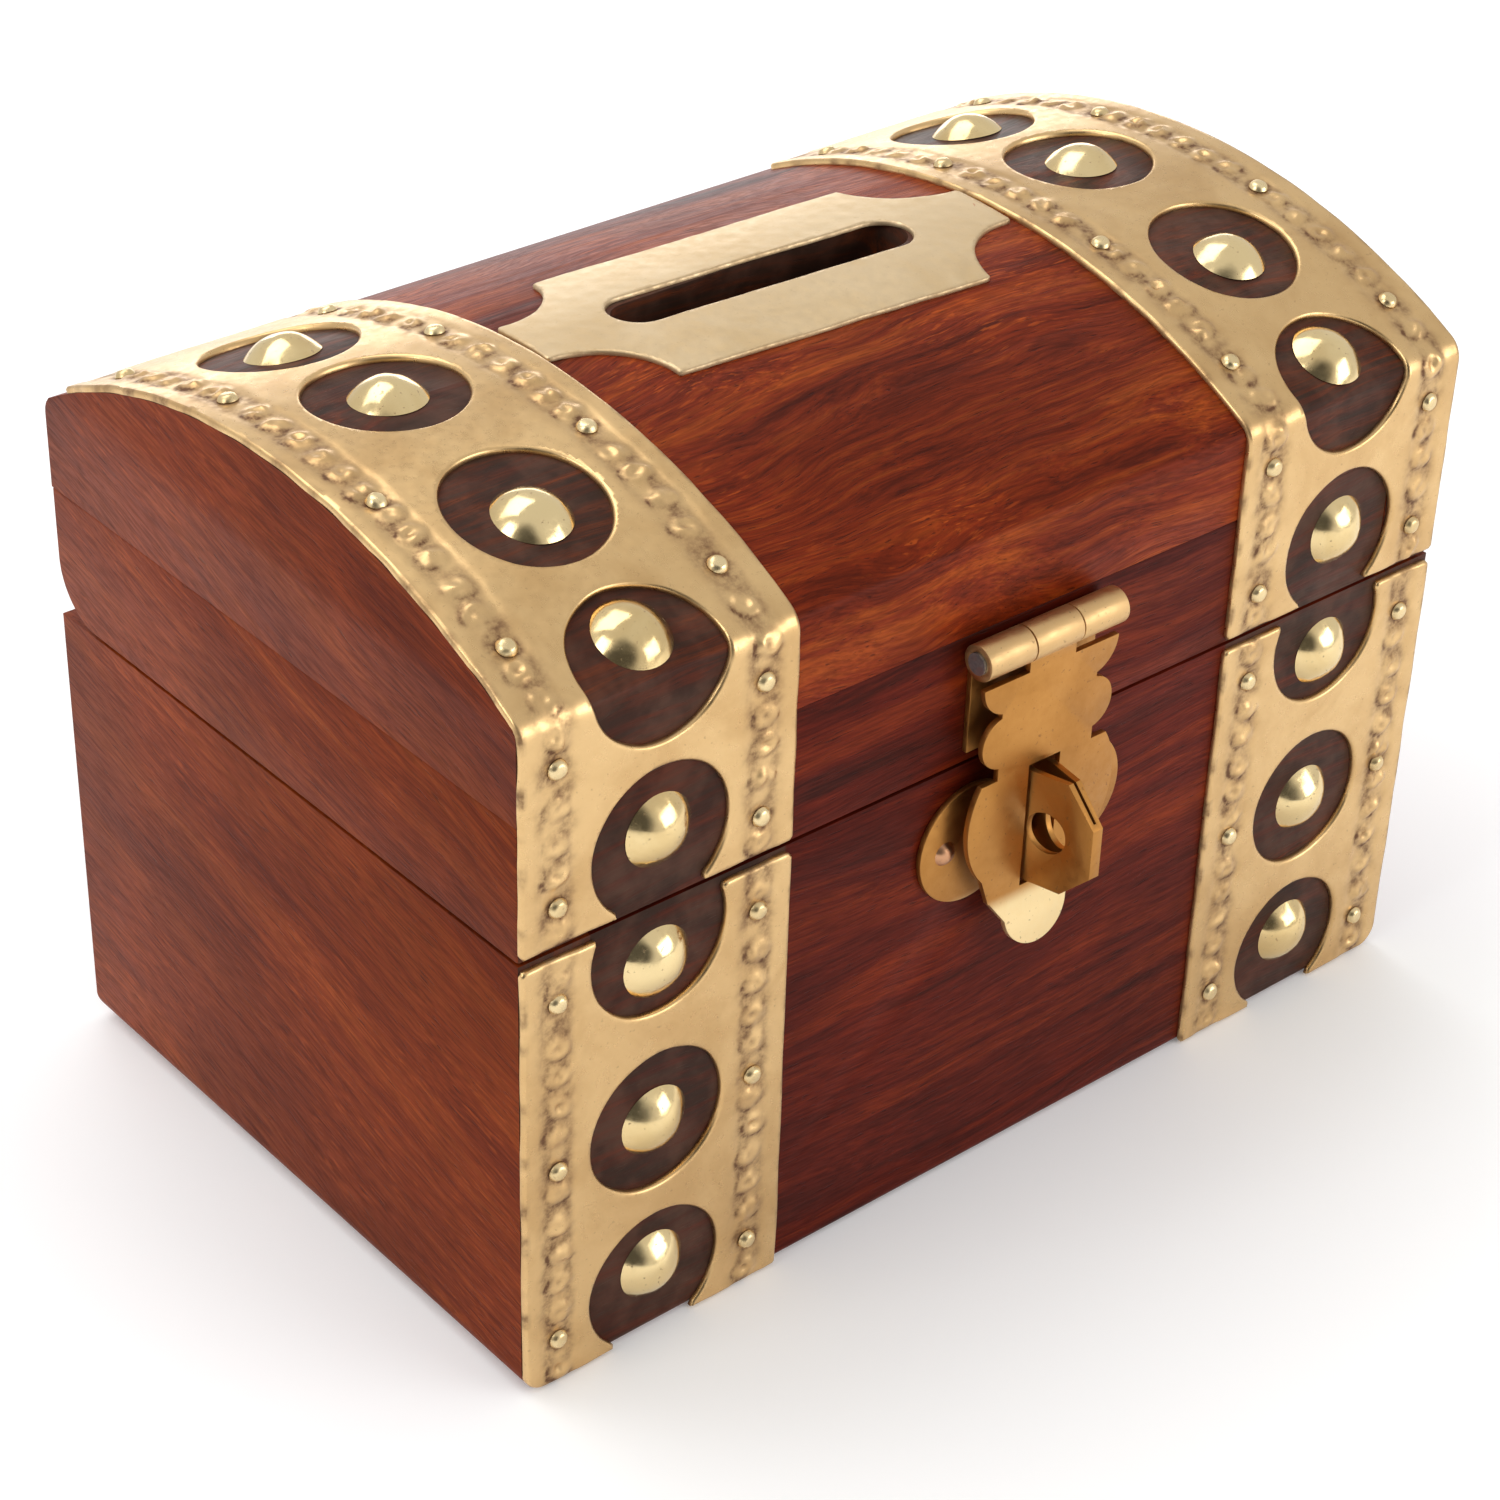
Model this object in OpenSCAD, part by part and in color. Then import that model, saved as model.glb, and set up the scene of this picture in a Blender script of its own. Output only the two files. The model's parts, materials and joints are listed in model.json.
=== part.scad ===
// Wooden donation box in the form of a small domed chest, with brass strapping, a coin slot in the
// lid, a hasp and staple for a padlock, and two butt hinges at the back.
// Millimetres. +Z is up, the front faces -Y, and the origin is the centre of the underside.

/* [Box] */
// Width of the wooden body
box_w = 150; // [146:1:156]
// Depth of the wooden body, front to back
box_d = 95; // [94:0.5:98]
// Height of the seam between box and lid
seam_z = 63; // [63:0.5:66]
// Open gap along the seam
seam_gap = 0.3; // [0.2:0.1:0.4]
// Thickness of the front, back and end walls
wall_t = 10; // [9.5:0.5:11]
// Thickness of the base panel
base_t = 5; // [4:0.5:6]
// How far the base panel is let into the walls
rabbet_d = 5; // [4:0.5:6]
// Radius of the bottom edge at the back and at both ends
bottom_r = 3.5; // [2:0.5:4]
// Radius of the front bottom edge, under the straps
bottom_front_r = 1.2; // [0.8:0.2:2]

/* [Lid] */
// Height of the lid's four rails
rail_h = 18; // [17:0.5:19]
// Height of the lid's front, from the seam to its top corner
lid_front_h = 30; // [29:0.5:32]
// Rise of the domed top above that corner
crown_rise = 12.8; // [12:0.2:14]
// Radius of the front top corner
corner_r = 1.6; // [1:0.2:2]
// Radius of the rear top corner
rear_corner_r = 3; // [2:0.5:4]
// Radius of the quarter round along the rear lower edge
heel_r = 8; // [7.5:0.5:8]

/* [Coin slot] */
// Length of the coin slot
slot_l = 45.5; // [40:0.5:47]
// Width of the coin slot
slot_w = 8; // [5:0.5:9]
// Distance of the coin slot behind the middle of the lid
slot_y = 1.8; // [0:0.2:3]
// Depth of the brass slot plate, front to back
plate_d = 30.8; // [28:0.2:32]
// Thickness of the slot plate
plate_t = 0.6; // [0.4:0.1:0.8]
// Radius of the bite out of each corner of the slot plate
bite_r = 11; // [10:0.5:11]
// Places of the slot plate's two pins, as x1, y1, x2, y2
plate_pin_at = [-32.7, 5.5, 33.6, 0.6]; // [-34:0.1:34]

/* [Brass strapping] */
// Thickness of the strapping
strap_t = 0.8; // [0.6:0.1:1]
// Width of each strap
strap_w = 39; // [38:0.5:40]
// Distance from the seam's middle to the edge of a strap
strap_edge = 0.8; // [0.5:0.1:1]
// Arc length from the crown back to the end of a lid strap
strap_end_s = 44; // [42:0.5:45]
// Radius of the round holes in the straps
punch_r = 9.75; // [9:0.25:10]
// Distance of the row of holes from the end of the box
punch_in = 19.5; // [19:0.5:20]
// Holes over the lid, as arc lengths from the crown, positive to the rear
lid_punch_s = [25.3, 3, -23.7, -47.8]; // [-48:0.1:26]
// Height of the hole in the front of the lid
lid_punch_z = 72; // [71:0.5:73]
// Heights of the holes in the front of the box
box_punch_z = [58, 32.4, 8.5]; // [8:0.1:59]

/* [Domed nails] */
// Radius of a domed nail's head
dome_r = 4.75; // [4:0.25:5]
// Height of a domed nail's head
dome_h = 2.5; // [2:0.1:3]
// Domed nails over the lid, as arc lengths from the crown
lid_dome_s = [24.5, 2.5, -25, -44]; // [-44:0.1:26]
// Height of the domed nail in the front of the lid
lid_dome_z = 73; // [72:0.5:74]
// Heights of the domed nails in the front of the box
box_dome_z = [55, 32, 10]; // [8:0.1:56]

/* [Strap pins] */
// Radius of a strap pin's head
pin_head_r = 1.45; // [1.2:0.05:1.6]
// Height of a strap pin's head
pin_head_h = 0.9; // [0.6:0.1:1.2]
// Distance of each row of pins from the edge of its strap
pin_in = 5; // [4.5:0.5:5]
// Pins over the lid, as arc lengths from the crown
lid_pin_s = [37, 13.5, -15.8, -40.3]; // [-41:0.1:38]
// Heights of the pins in the front of the lid
lid_pin_z = [87, 69]; // [68:0.5:88]
// Heights of the pins in the front of the box
box_pin_z = [56, 32, 6.5]; // [6:0.5:57]

/* [Hasp] */
// Distance of the hasp and staple right of the middle
hasp_x = 1.2; // [-2:0.1:2]
// Height of the hasp's hinge pin
hasp_z = 78.8; // [78:0.1:79]
// Outer radius of the hasp's knuckles
hasp_knuckle_r = 2.35; // [2.2:0.05:2.4]
// Radius of the hasp's hinge pin
hasp_pin_r = 1.4; // [1.2:0.05:1.5]
// Length over the hasp's three knuckles
hasp_knuckle_l = 22.6; // [21:0.2:23]
// Thickness of the hasp's sheet
hasp_t = 0.8; // [0.6:0.1:0.9]
// Outward bend of the hasp's tongue
tongue_deg = 9; // [6:1:15]
// Radius of the padlock hole in the staple
padlock_r = 2.8; // [2.5:0.1:3]

/* [Rear hinges] */
// Distance of each rear hinge from the middle
hinge_x = 42; // [38:1:45]
// Length of a rear hinge
hinge_l = 22; // [20:1:24]
// Outer radius of a rear hinge's knuckles
knuckle_r = 1.6; // [1.5:0.05:1.65]
// Radius of a rear hinge's pin
hinge_pin_r = 0.7; // [0.6:0.05:0.8]
// Distance of a rear hinge's pin from the back of the box
hinge_in = 1.9; // [1.8:0.1:2]

/* [Hidden] */
$fn = 96;
half_w = box_w / 2;
half_d = box_d / 2;
half_gap = seam_gap / 2;
box_top = seam_z - half_gap;
lid_low = seam_z + half_gap;
slab_z = seam_z + rail_h;
corner_z = seam_z + lid_front_h;
crown_z = corner_z + crown_rise;
arc_r = (half_d * half_d + crown_rise * crown_rise) / (2 * crown_rise);
arc_z = crown_z - arc_r;

// running clearance of a pin in the knuckles that turn on it, and side gap between knuckles
turn_gap = 0.05;
knuckle_gap = 0.2;
// far enough to cut right through
past = 1;
// flats that round off a top corner
corner_steps = 4;
corner_punch_r = 9;

pin_rows = [half_w - pin_in, half_w - strap_w + pin_in];
punch_x = half_w - punch_in;
sides = [-1, 1];

dome_shank_r = 0.8;
dome_shank_l = 9;
pin_shank_r = 0.5;
pin_shank_l = 7;
brad_r = 0.7;
brad_head_r = 1.3;
brad_head_h = 0.6;
brad_l = 14;
brad_xs = [-50, 0, 50];

plate_pin_r = 0.75;
plate_pin_l = 8;
// middle of a bite, beside the slot plate's corner
bite_x = half_w - strap_w - 1.3;
bite_y = plate_d / 2 + 0.9;

front_y = -half_d;
strap_y = front_y - strap_t;
hasp_leaf_y = front_y - hasp_t;
hasp_axis_y = front_y - 2.7;
// the moving plate's sheet stands just outside the pin's axis
plate_in_y = hasp_axis_y - 0.4;
plate_out_y = plate_in_y - hasp_t;
hasp_leaf_w = 20.6;
hasp_leaf_h = 13.8;
hasp_third = hasp_knuckle_l / 3;
shoulder_z = hasp_z - 3.5;
bend_z = 43.5;
bend_half = 7.8;
hasp_nail_x = 4.5;
hasp_nail_z = 70;

staple_z = 52.9;
staple_half_w = 2;
staple_slot_gap = 0.6;
staple_slot_low = 44.2;
staple_slot_high = 61.8;
padlock_out = 5.75;
tang_low = 49;
tang_high = 56;
tang_l = 7;
base_plate_z = 51.5;
base_plate_half = 16.7;
base_lobe_r = 8.2;
rivet_x = 12.7;
rivet_head_r = 1.6;
rivet_shank_r = 0.8;
rivet_l = 8;
// side outline of the staple: distance out from its base plate, and height
staple_outline = [[0, 44.7], [8.3, 45.1], [12.8, 49.6], [12.8, 56.5], [8.3, 61], [0, 60.6]];
// its half outline from above, where the folded sheet narrows to its edge: half width, distance out
staple_fold = [[staple_half_w, 3.1], [1, 8.2], [hasp_t, 12.8]];
// the hollow between its two sides
staple_hollow = [[staple_half_w - hasp_t, 3.1], [1 - hasp_t, 8.2], [0.2, 12.2]];

hinge_y = half_d - hinge_in;
leaf_t = 0.8;
leaf_in_y = half_d - wall_t + 0.8;
leaf_screw_y = half_d - 6.5;
leaf_screw_x = 7;
leaf_cut_y = hinge_y - knuckle_r - 0.2;
screw_head_r = 1.5;
screw_r = 0.8;
screw_l = 8;
hinge_third = hinge_l / 3;

wood_red = "#7a3218";
wood_dark = "#5e2410";
brass_pale = "#cda868";
brass_bright = "#d9c06a";
brass_antique = "#b98a3c";
steel_grey = "#8d8f92";
copper = "#b0704a";

// ---------- placing ----------

// A shape drawn in the YZ plane, carried from x0 to x1.
module along_x(x0, x1) {
    translate([x0, 0, 0]) rotate([90, 0, 90]) linear_extrude(x1 - x0) children();
}

// A shape drawn in the XZ plane, carried back from y0 to the greater y1.
module along_y(y0, y1) {
    translate([0, y1, 0]) rotate([90, 0, 0]) linear_extrude(y1 - y0) children();
}

// Stands its child on the domed top, at arc length s from the crown, with its +Z outward.
module on_arc(x, s, lift = 0) {
    translate([x, 0, arc_z])
        rotate([-s / arc_r * 180 / PI, 0, 0])
            translate([0, 0, arc_r + lift]) children();
}

// Stands its child on the front face, with its +Z outward.
module on_front(x, z, lift = 0) {
    translate([x, front_y - lift, z]) rotate([90, 0, 0]) children();
}

module rod(r, l) {
    translate([0, 0, -l]) cylinder(r = r, h = l);
}

// The hole for a rod of the same length, open above its mouth.
module bore(r, l) {
    translate([0, 0, past]) rod(r, l + past);
}

// A rod along X, centred on the given point.
module cross_rod(r, l, y, z) {
    translate([-l / 2, y, z]) rotate([0, 90, 0]) cylinder(r = r, h = l);
}

// ---------- outlines, in the YZ plane ----------

// Middle of the corner circle that touches the side and the domed top.
function corner_mid(d, r_top, r) = [d - r, arc_z + sqrt(pow(r_top - r, 2) - pow(d - r, 2))];

// Points round a top corner of the half outline, from its side up to just past the domed top.
function corner_points(d, r_top, r) =
    let (
        mid = corner_mid(d, r_top, r),
        turn = atan2(mid[1] - arc_z, mid[0]),
        step = turn / corner_steps,
        round_part = [for (i = [0 : corner_steps - 1]) mid + r * [cos(i * step), sin(i * step)]],
        last = round_part[corner_steps - 1],
        before = round_part[corner_steps - 2]
    )
    concat(round_part, [last + 3 * (last - before) / norm(last - before) * r * sin(step)]);

function mirrored(points) = [for (i = [len(points) - 1 : -1 : 0]) [-points[i][0], points[i][1]]];

// The lid's outline, grown outward by t, down to the given height.
module crown_outline(t, low) {
    d = half_d + t;
    rear = corner_points(d, arc_r + t, rear_corner_r + t);
    front = corner_points(d, arc_r + t, corner_r + t);
    roof = [[0, 2 * crown_z]];
    intersection() {
        translate([0, arc_z]) circle(arc_r + t);
        polygon(concat([[-d, low], [d, low]], rear, roof, mirrored(front)));
    }
}

module lid_outline() {
    difference() {
        crown_outline(0, lid_low);
        difference() {
            translate([half_d - heel_r, seam_z - past]) square(heel_r + past);
            translate([half_d - heel_r, seam_z + heel_r]) circle(heel_r);
        }
    }
}

module box_outline() {
    flat_d = box_d - bottom_front_r - bottom_r;
    translate([-half_d, bottom_r]) square([box_d, box_top - bottom_r]);
    translate([-half_d, bottom_front_r]) square([half_d, bottom_r]);
    translate([-half_d + bottom_front_r, 0]) square([flat_d, bottom_r + past]);
    translate([-half_d + bottom_front_r, bottom_front_r]) circle(bottom_front_r);
    translate([half_d - bottom_r, bottom_r]) circle(bottom_r);
}

// A band of the YZ plane between two depths.
module between_y(y0, y1) {
    translate([y0, -past]) square([y1 - y0, crown_z + 2 * past]);
}

module rail_outline() {
    intersection() {
        lid_outline();
        translate([-half_d, 0]) square([box_d, slab_z]);
    }
}

// ---------- nails, screws and their holes ----------

module dome_nail() {
    ball_r = (dome_r * dome_r + dome_h * dome_h) / (2 * dome_h);
    intersection() {
        translate([0, 0, dome_h - ball_r]) sphere(ball_r);
        cylinder(r = dome_r + past, h = dome_h + past);
    }
    translate([0, 0, dome_h / 3]) rod(dome_shank_r, dome_shank_l + dome_h / 3);
}

// A small pin with a low domed head; head is its radius, up its height.
module domed_pin(head, up, shank_r, shank_l) {
    ball_r = (head * head + up * up) / (2 * up);
    intersection() {
        translate([0, 0, up - ball_r]) sphere(ball_r);
        cylinder(r = head + past, h = up + past);
    }
    translate([0, 0, up / 3]) rod(shank_r, shank_l + up / 3);
}

module strap_pin() {
    domed_pin(pin_head_r, pin_head_h, pin_shank_r, pin_shank_l + strap_t);
}

// Puts its child at each domed nail of the lid.
module at_lid_domes() {
    for (side = sides) {
        for (s = lid_dome_s) on_arc(side * punch_x, s) children();
        on_front(side * punch_x, lid_dome_z) children();
    }
}

module at_box_domes() {
    for (side = sides, z = box_dome_z) on_front(side * punch_x, z) children();
}

// Puts its child on the strap at each strap pin of the lid.
module at_lid_pins() {
    for (side = sides, row = pin_rows) {
        for (s = lid_pin_s) on_arc(side * row, s, strap_t) children();
        for (z = lid_pin_z) on_front(side * row, z, strap_t) children();
    }
}

module at_box_pins() {
    for (side = sides, row = pin_rows, z = box_pin_z) on_front(side * row, z, strap_t) children();
}

module at_hasp_nails() {
    for (side = sides) on_front(hasp_x + side * hasp_nail_x, hasp_nail_z, hasp_t) children();
}

module at_rivets() {
    for (side = sides) on_front(hasp_x + side * rivet_x, base_plate_z, hasp_t) children();
}

module at_plate_pins() {
    for (i = [0, 1]) {
        s = asin(plate_pin_at[2 * i + 1] / arc_r) / 180 * PI * arc_r;
        on_arc(plate_pin_at[2 * i], s, plate_t) children();
    }
}

module lid_shanks() {
    at_lid_domes() bore(dome_shank_r, dome_shank_l);
    at_lid_pins() bore(pin_shank_r, pin_shank_l + strap_t);
}

module box_shanks() {
    at_box_domes() bore(dome_shank_r, dome_shank_l);
    at_box_pins() bore(pin_shank_r, pin_shank_l + strap_t);
}

// A countersunk screw whose head is flush with the plane z = 0, driven down.
module screw() {
    translate([0, 0, -leaf_t]) cylinder(r1 = screw_r, r2 = screw_head_r, h = leaf_t);
    rod(screw_r, screw_l);
}

module at_leaf_screws(side) {
    for (end = sides) translate([side * hinge_x + end * leaf_screw_x, leaf_screw_y, 0]) children();
}

module box_screws(side) {
    at_leaf_screws(side) translate([0, 0, box_top]) screw();
}

module lid_screws(side) {
    at_leaf_screws(side) translate([0, 0, lid_low]) mirror([0, 0, 1]) screw();
}

// ---------- box ----------

module box_wall(x0, x1, y0, y1) {
    difference() {
        along_x(x0, x1) intersection() {
            box_outline();
            between_y(y0, y1);
        }
        base_pocket();
    }
}

// What is cut off to round the bottom edge of an end panel.
module end_bottom_round(side) {
    along_y(-half_d - past, half_d + past) mirror([side < 0 ? 1 : 0, 0]) difference() {
        translate([half_w - bottom_r, -past]) square(bottom_r + past);
        translate([half_w - bottom_r, bottom_r]) circle(bottom_r);
    }
}

// The rabbet that the base panel drops into, and the holes for its brads.
module base_pocket() {
    base_block(past);
    at_brads() bore(brad_r, brad_l);
}

module base_block(below) {
    w = box_w - 2 * (wall_t - rabbet_d);
    d = box_d - 2 * (wall_t - rabbet_d);
    translate([-w / 2, -d / 2, -below]) cube([w, d, base_t + below]);
}

module at_brads() {
    in_line = wall_t - rabbet_d / 2;
    for (side = sides, x = brad_xs)
        translate([x, side * (half_d - in_line), 0]) rotate([180, 0, 0]) children();
    for (side = sides) translate([side * (half_w - in_line), 0, 0]) rotate([180, 0, 0]) children();
}

module box_front_panel() {
    color(wood_red) difference() {
        box_wall(-half_w + wall_t, half_w - wall_t, -half_d, -half_d + wall_t);
        box_shanks();
        at_rivets() bore(rivet_shank_r, rivet_l + hasp_t);
        staple_pocket(staple_half_w);
    }
}

module box_back_panel() {
    color(wood_red) difference() {
        box_wall(-half_w + wall_t, half_w - wall_t, half_d - wall_t, half_d);
        for (side = sides) {
            hinge_mortise(side, box_top - leaf_t, leaf_t + past);
            hinge_barrel_pocket(side);
            box_screws(side);
        }
    }
}

module box_left_panel() {
    color(wood_red) difference() {
        box_wall(-half_w, -half_w + wall_t, -half_d, half_d);
        end_bottom_round(-1);
        box_shanks();
    }
}

module box_right_panel() {
    color(wood_red) difference() {
        box_wall(half_w - wall_t, half_w, -half_d, half_d);
        end_bottom_round(1);
        box_shanks();
    }
}

module box_base_panel() {
    color(wood_dark) difference() {
        base_block(0);
        at_brads() brad();
    }
}

module brad() {
    translate([0, 0, -brad_head_h]) cylinder(r = brad_head_r, h = brad_head_h);
    rod(brad_r, brad_l);
}

module box_base_brads() {
    color(steel_grey) at_brads() brad();
}

// ---------- lid ----------

module lid_front_rail() {
    color(wood_dark) difference() {
        along_x(-half_w + wall_t, half_w - wall_t) intersection() {
            rail_outline();
            between_y(-half_d, -half_d + wall_t);
        }
        lid_shanks();
        at_hasp_nails() bore(pin_shank_r, pin_shank_l);
    }
}

module lid_back_rail() {
    color(wood_dark) difference() {
        along_x(-half_w + wall_t, half_w - wall_t) intersection() {
            rail_outline();
            between_y(half_d - wall_t, half_d);
        }
        for (side = sides) {
            hinge_mortise(side, lid_low - past, leaf_t + past);
            lid_screws(side);
        }
    }
}

module lid_end_rail(x0) {
    difference() {
        along_x(x0, x0 + wall_t) rail_outline();
        lid_shanks();
    }
}

module lid_left_rail() {
    color(wood_dark) lid_end_rail(-half_w);
}

module lid_right_rail() {
    color(wood_dark) lid_end_rail(half_w - wall_t);
}

module coin_slot() {
    half = (slot_l - slot_w) / 2;
    translate([0, slot_y, 0]) linear_extrude(crown_z + past) {
        square([2 * half, slot_w], center = true);
        for (side = sides) translate([side * half, 0]) circle(slot_w / 2);
    }
}

module lid_top_panel() {
    color(wood_red) difference() {
        along_x(-half_w, half_w) intersection() {
            lid_outline();
            translate([-half_d, slab_z]) square([box_d, crown_z]);
        }
        coin_slot();
        lid_shanks();
        at_plate_pins() bore(plate_pin_r, plate_pin_l);
    }
}

// The slot plate's outline from above: a rectangle with a bite out of each corner.
module slot_plate_outline() {
    w = box_w - 2 * strap_w - 1.2;
    difference() {
        square([w, plate_d], center = true);
        for (i = sides, j = sides) translate([i * bite_x, j * bite_y]) circle(bite_r);
    }
}

module slot_plate() {
    color(brass_pale) difference() {
        intersection() {
            along_x(-half_w, half_w) difference() {
                translate([0, arc_z]) circle(arc_r + plate_t);
                translate([0, arc_z]) circle(arc_r);
            }
            translate([0, slot_y, slab_z]) linear_extrude(crown_z) slot_plate_outline();
        }
        coin_slot();
        at_plate_pins() bore(plate_pin_r, plate_pin_l);
    }
}

module slot_plate_pins() {
    color(brass_bright) at_plate_pins() rod(plate_pin_r, plate_pin_l);
}

// ---------- strapping ----------

module strap_outline() {
    difference() {
        crown_outline(strap_t, seam_z + strap_edge);
        crown_outline(0, seam_z - past);
        between_y(arc_r * sin(strap_end_s / arc_r * 180 / PI), box_d);
    }
}

function arc_point(s) = [arc_r * sin(s / arc_r * 180 / PI), arc_z + arc_r * cos(s / arc_r * 180 / PI)];

// The foremost hole runs over the corner, so it is bored square to the line between its two ends.
module corner_punch(side) {
    foremost = min(lid_punch_s);
    corner_s = asin(half_d / arc_r) / 180 * PI * arc_r;
    top = arc_point(foremost + punch_r);
    low = [front_y, corner_z + corner_s + foremost - punch_r];
    middle = (top + low) / 2;
    translate([side * punch_x, middle[0], middle[1]])
        rotate([atan2(top[1] - low[1], top[0] - low[0]), 0, 0])
            cylinder(r = corner_punch_r, h = 2 * wall_t, center = true);
}

module lid_strap(side) {
    middle = side * (half_w - strap_w / 2);
    deep = strap_t + past;
    difference() {
        along_x(middle - strap_w / 2, middle + strap_w / 2) strap_outline();
        for (s = lid_punch_s)
            if (s > min(lid_punch_s)) on_arc(side * punch_x, s, deep) rod(punch_r, 2 * deep);
        on_front(side * punch_x, lid_punch_z, deep) rod(punch_r, 2 * deep);
        corner_punch(side);
        at_lid_pins() bore(pin_shank_r, 2 * deep);
    }
}

module box_strap(side) {
    middle = side * (half_w - strap_w / 2);
    difference() {
        translate([middle - strap_w / 2, strap_y, 0]) cube([strap_w, strap_t, seam_z - strap_edge]);
        for (z = box_punch_z) on_front(side * punch_x, z, strap_t + past) rod(punch_r, strap_t + 2 * past);
        box_shanks();
    }
}

module lid_strap_left() {
    color(brass_pale) lid_strap(-1);
}

module lid_strap_right() {
    color(brass_pale) lid_strap(1);
}

module box_strap_left() {
    color(brass_pale) box_strap(-1);
}

module box_strap_right() {
    color(brass_pale) box_strap(1);
}

module lid_dome_nails() {
    color(brass_bright) at_lid_domes() dome_nail();
}

module box_dome_nails() {
    color(brass_bright) at_box_domes() dome_nail();
}

module lid_strap_pins() {
    color(brass_bright) at_lid_pins() strap_pin();
}

module box_strap_pins() {
    color(brass_bright) at_box_pins() strap_pin();
}

// ---------- hasp ----------

// Knuckles along X between the listed ends, measured from the hasp's middle.
module hasp_knuckles(spans) {
    for (span = spans)
        translate([hasp_x + (span[0] + span[1]) / 2, 0, 0])
            cross_rod(hasp_knuckle_r, span[1] - span[0], hasp_axis_y, hasp_z);
}

module hasp_pin_hole(r) {
    translate([hasp_x, 0, 0]) cross_rod(r, hasp_knuckle_l + 2 * past, hasp_axis_y, hasp_z);
}

// The fixed leaf, cut away around the middle knuckle.
module hasp_leaf() {
    half = hasp_knuckle_l / 2;
    inner = hasp_third / 2 + knuckle_gap;
    color(brass_antique) difference() {
        union() {
            translate([hasp_x - hasp_leaf_w / 2, hasp_leaf_y, hasp_z - hasp_leaf_h])
                cube([hasp_leaf_w, hasp_t, hasp_leaf_h]);
            hasp_knuckles([[-half, -inner], [inner, half]]);
        }
        translate([hasp_x - inner, hasp_leaf_y - past, hasp_z - hasp_knuckle_r - knuckle_gap])
            cube([2 * inner, hasp_t + 2 * past, hasp_leaf_h]);
        hasp_pin_hole(hasp_pin_r);
        at_hasp_nails() bore(pin_shank_r, pin_shank_l);
    }
}

module hasp_leaf_nails() {
    color(brass_antique) at_hasp_nails() domed_pin(pin_head_r, pin_head_h, pin_shank_r, pin_shank_l);
}

module hasp_hinge_pin() {
    color(steel_grey) translate([hasp_x, 0, 0])
        cross_rod(hasp_pin_r, hasp_knuckle_l + 0.6, hasp_axis_y, hasp_z);
}

// Half of the hasp's front outline below its knuckle, mirrored about the middle: shoulders, a small
// lobe, a round belly over the staple, and a neck down to the tongue's bend.
module hasp_outline() {
    neck = [[0, shoulder_z], [7.8, shoulder_z], [7.8, 60], [10.2, 50.4], [bend_half, bend_z], [0, bend_z]];
    for (side = [0, 1]) mirror([side, 0]) {
        polygon(neck);
        intersection() {
            translate([6.6, shoulder_z]) circle(4.4);
            translate([0, bend_z]) square([12, shoulder_z - bend_z]);
        }
        translate([7.1, 66.9]) circle(3.6);
    }
    intersection() {
        translate([0, 55.3]) circle(12.1);
        translate([-13, bend_z]) square([26, 61.6 - bend_z]);
    }
}

// The tongue narrows from just inside the bend's ends to the circle at its tip.
module hasp_tongue() {
    top_half = bend_half - 0.1;
    round_r = 5.2;
    round_z = -3;
    side = [4, -5.2];
    translate([hasp_x, plate_in_y, bend_z]) rotate([-tongue_deg, 0, 0])
        along_y(-hasp_t, 0) {
            polygon([[-top_half, 0], [-side[0], side[1]], side, [top_half, 0]]);
            intersection() {
                translate([0, round_z]) circle(round_r);
                translate([-bend_half, -wall_t]) square([2 * bend_half, wall_t]);
            }
        }
}

module hasp_plate() {
    inner = hasp_third / 2;
    color(brass_antique) difference() {
        union() {
            translate([hasp_x, 0, 0]) along_y(plate_out_y, plate_in_y) {
                hasp_outline();
                translate([-inner, shoulder_z - past]) square([2 * inner, hasp_z - shoulder_z + past]);
            }
            hasp_knuckles([[-inner, inner]]);
            hasp_tongue();
        }
        hasp_pin_hole(hasp_pin_r + turn_gap);
        translate([hasp_x, 0, 0]) along_y(plate_out_y - past, plate_in_y + past) staple_window();
    }
}

module staple_window() {
    half = staple_half_w + staple_slot_gap;
    translate([-half, staple_slot_low]) square([2 * half, staple_slot_high - staple_slot_low]);
}

// ---------- staple ----------

module staple_plate() {
    lobe_x = base_plate_half - base_lobe_r;
    color(brass_antique) difference() {
        translate([hasp_x, 0, 0]) along_y(hasp_leaf_y, front_y) {
            for (side = sides) translate([side * lobe_x, base_plate_z]) circle(base_lobe_r);
            translate([-lobe_x, base_plate_z - 7.2]) square([2 * lobe_x, 14.4]);
        }
        at_rivets() bore(rivet_shank_r, rivet_l + hasp_t);
        staple_pocket(staple_half_w);
    }
}

// The slot through the base plate and into the front panel that takes the staple's tangs.
module staple_pocket(half) {
    translate([hasp_x - half, hasp_leaf_y - past, tang_low])
        cube([2 * half, hasp_t + past + tang_l, tang_high - tang_low]);
}

// A half outline seen from above, as distance out and half width, mirrored about the staple's middle
// and carried back through the panel.
module staple_plan(half_outline) {
    w = half_outline[0][0];
    right = [for (p = half_outline) [p[0], -p[1]]];
    left = [for (i = [len(right) - 1 : -1 : 0]) [-right[i][0], right[i][1]]];
    translate([hasp_x, hasp_leaf_y, 0]) linear_extrude(crown_z)
        polygon(concat([[-w, tang_l + wall_t], [w, tang_l + wall_t]], right, left));
}

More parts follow.
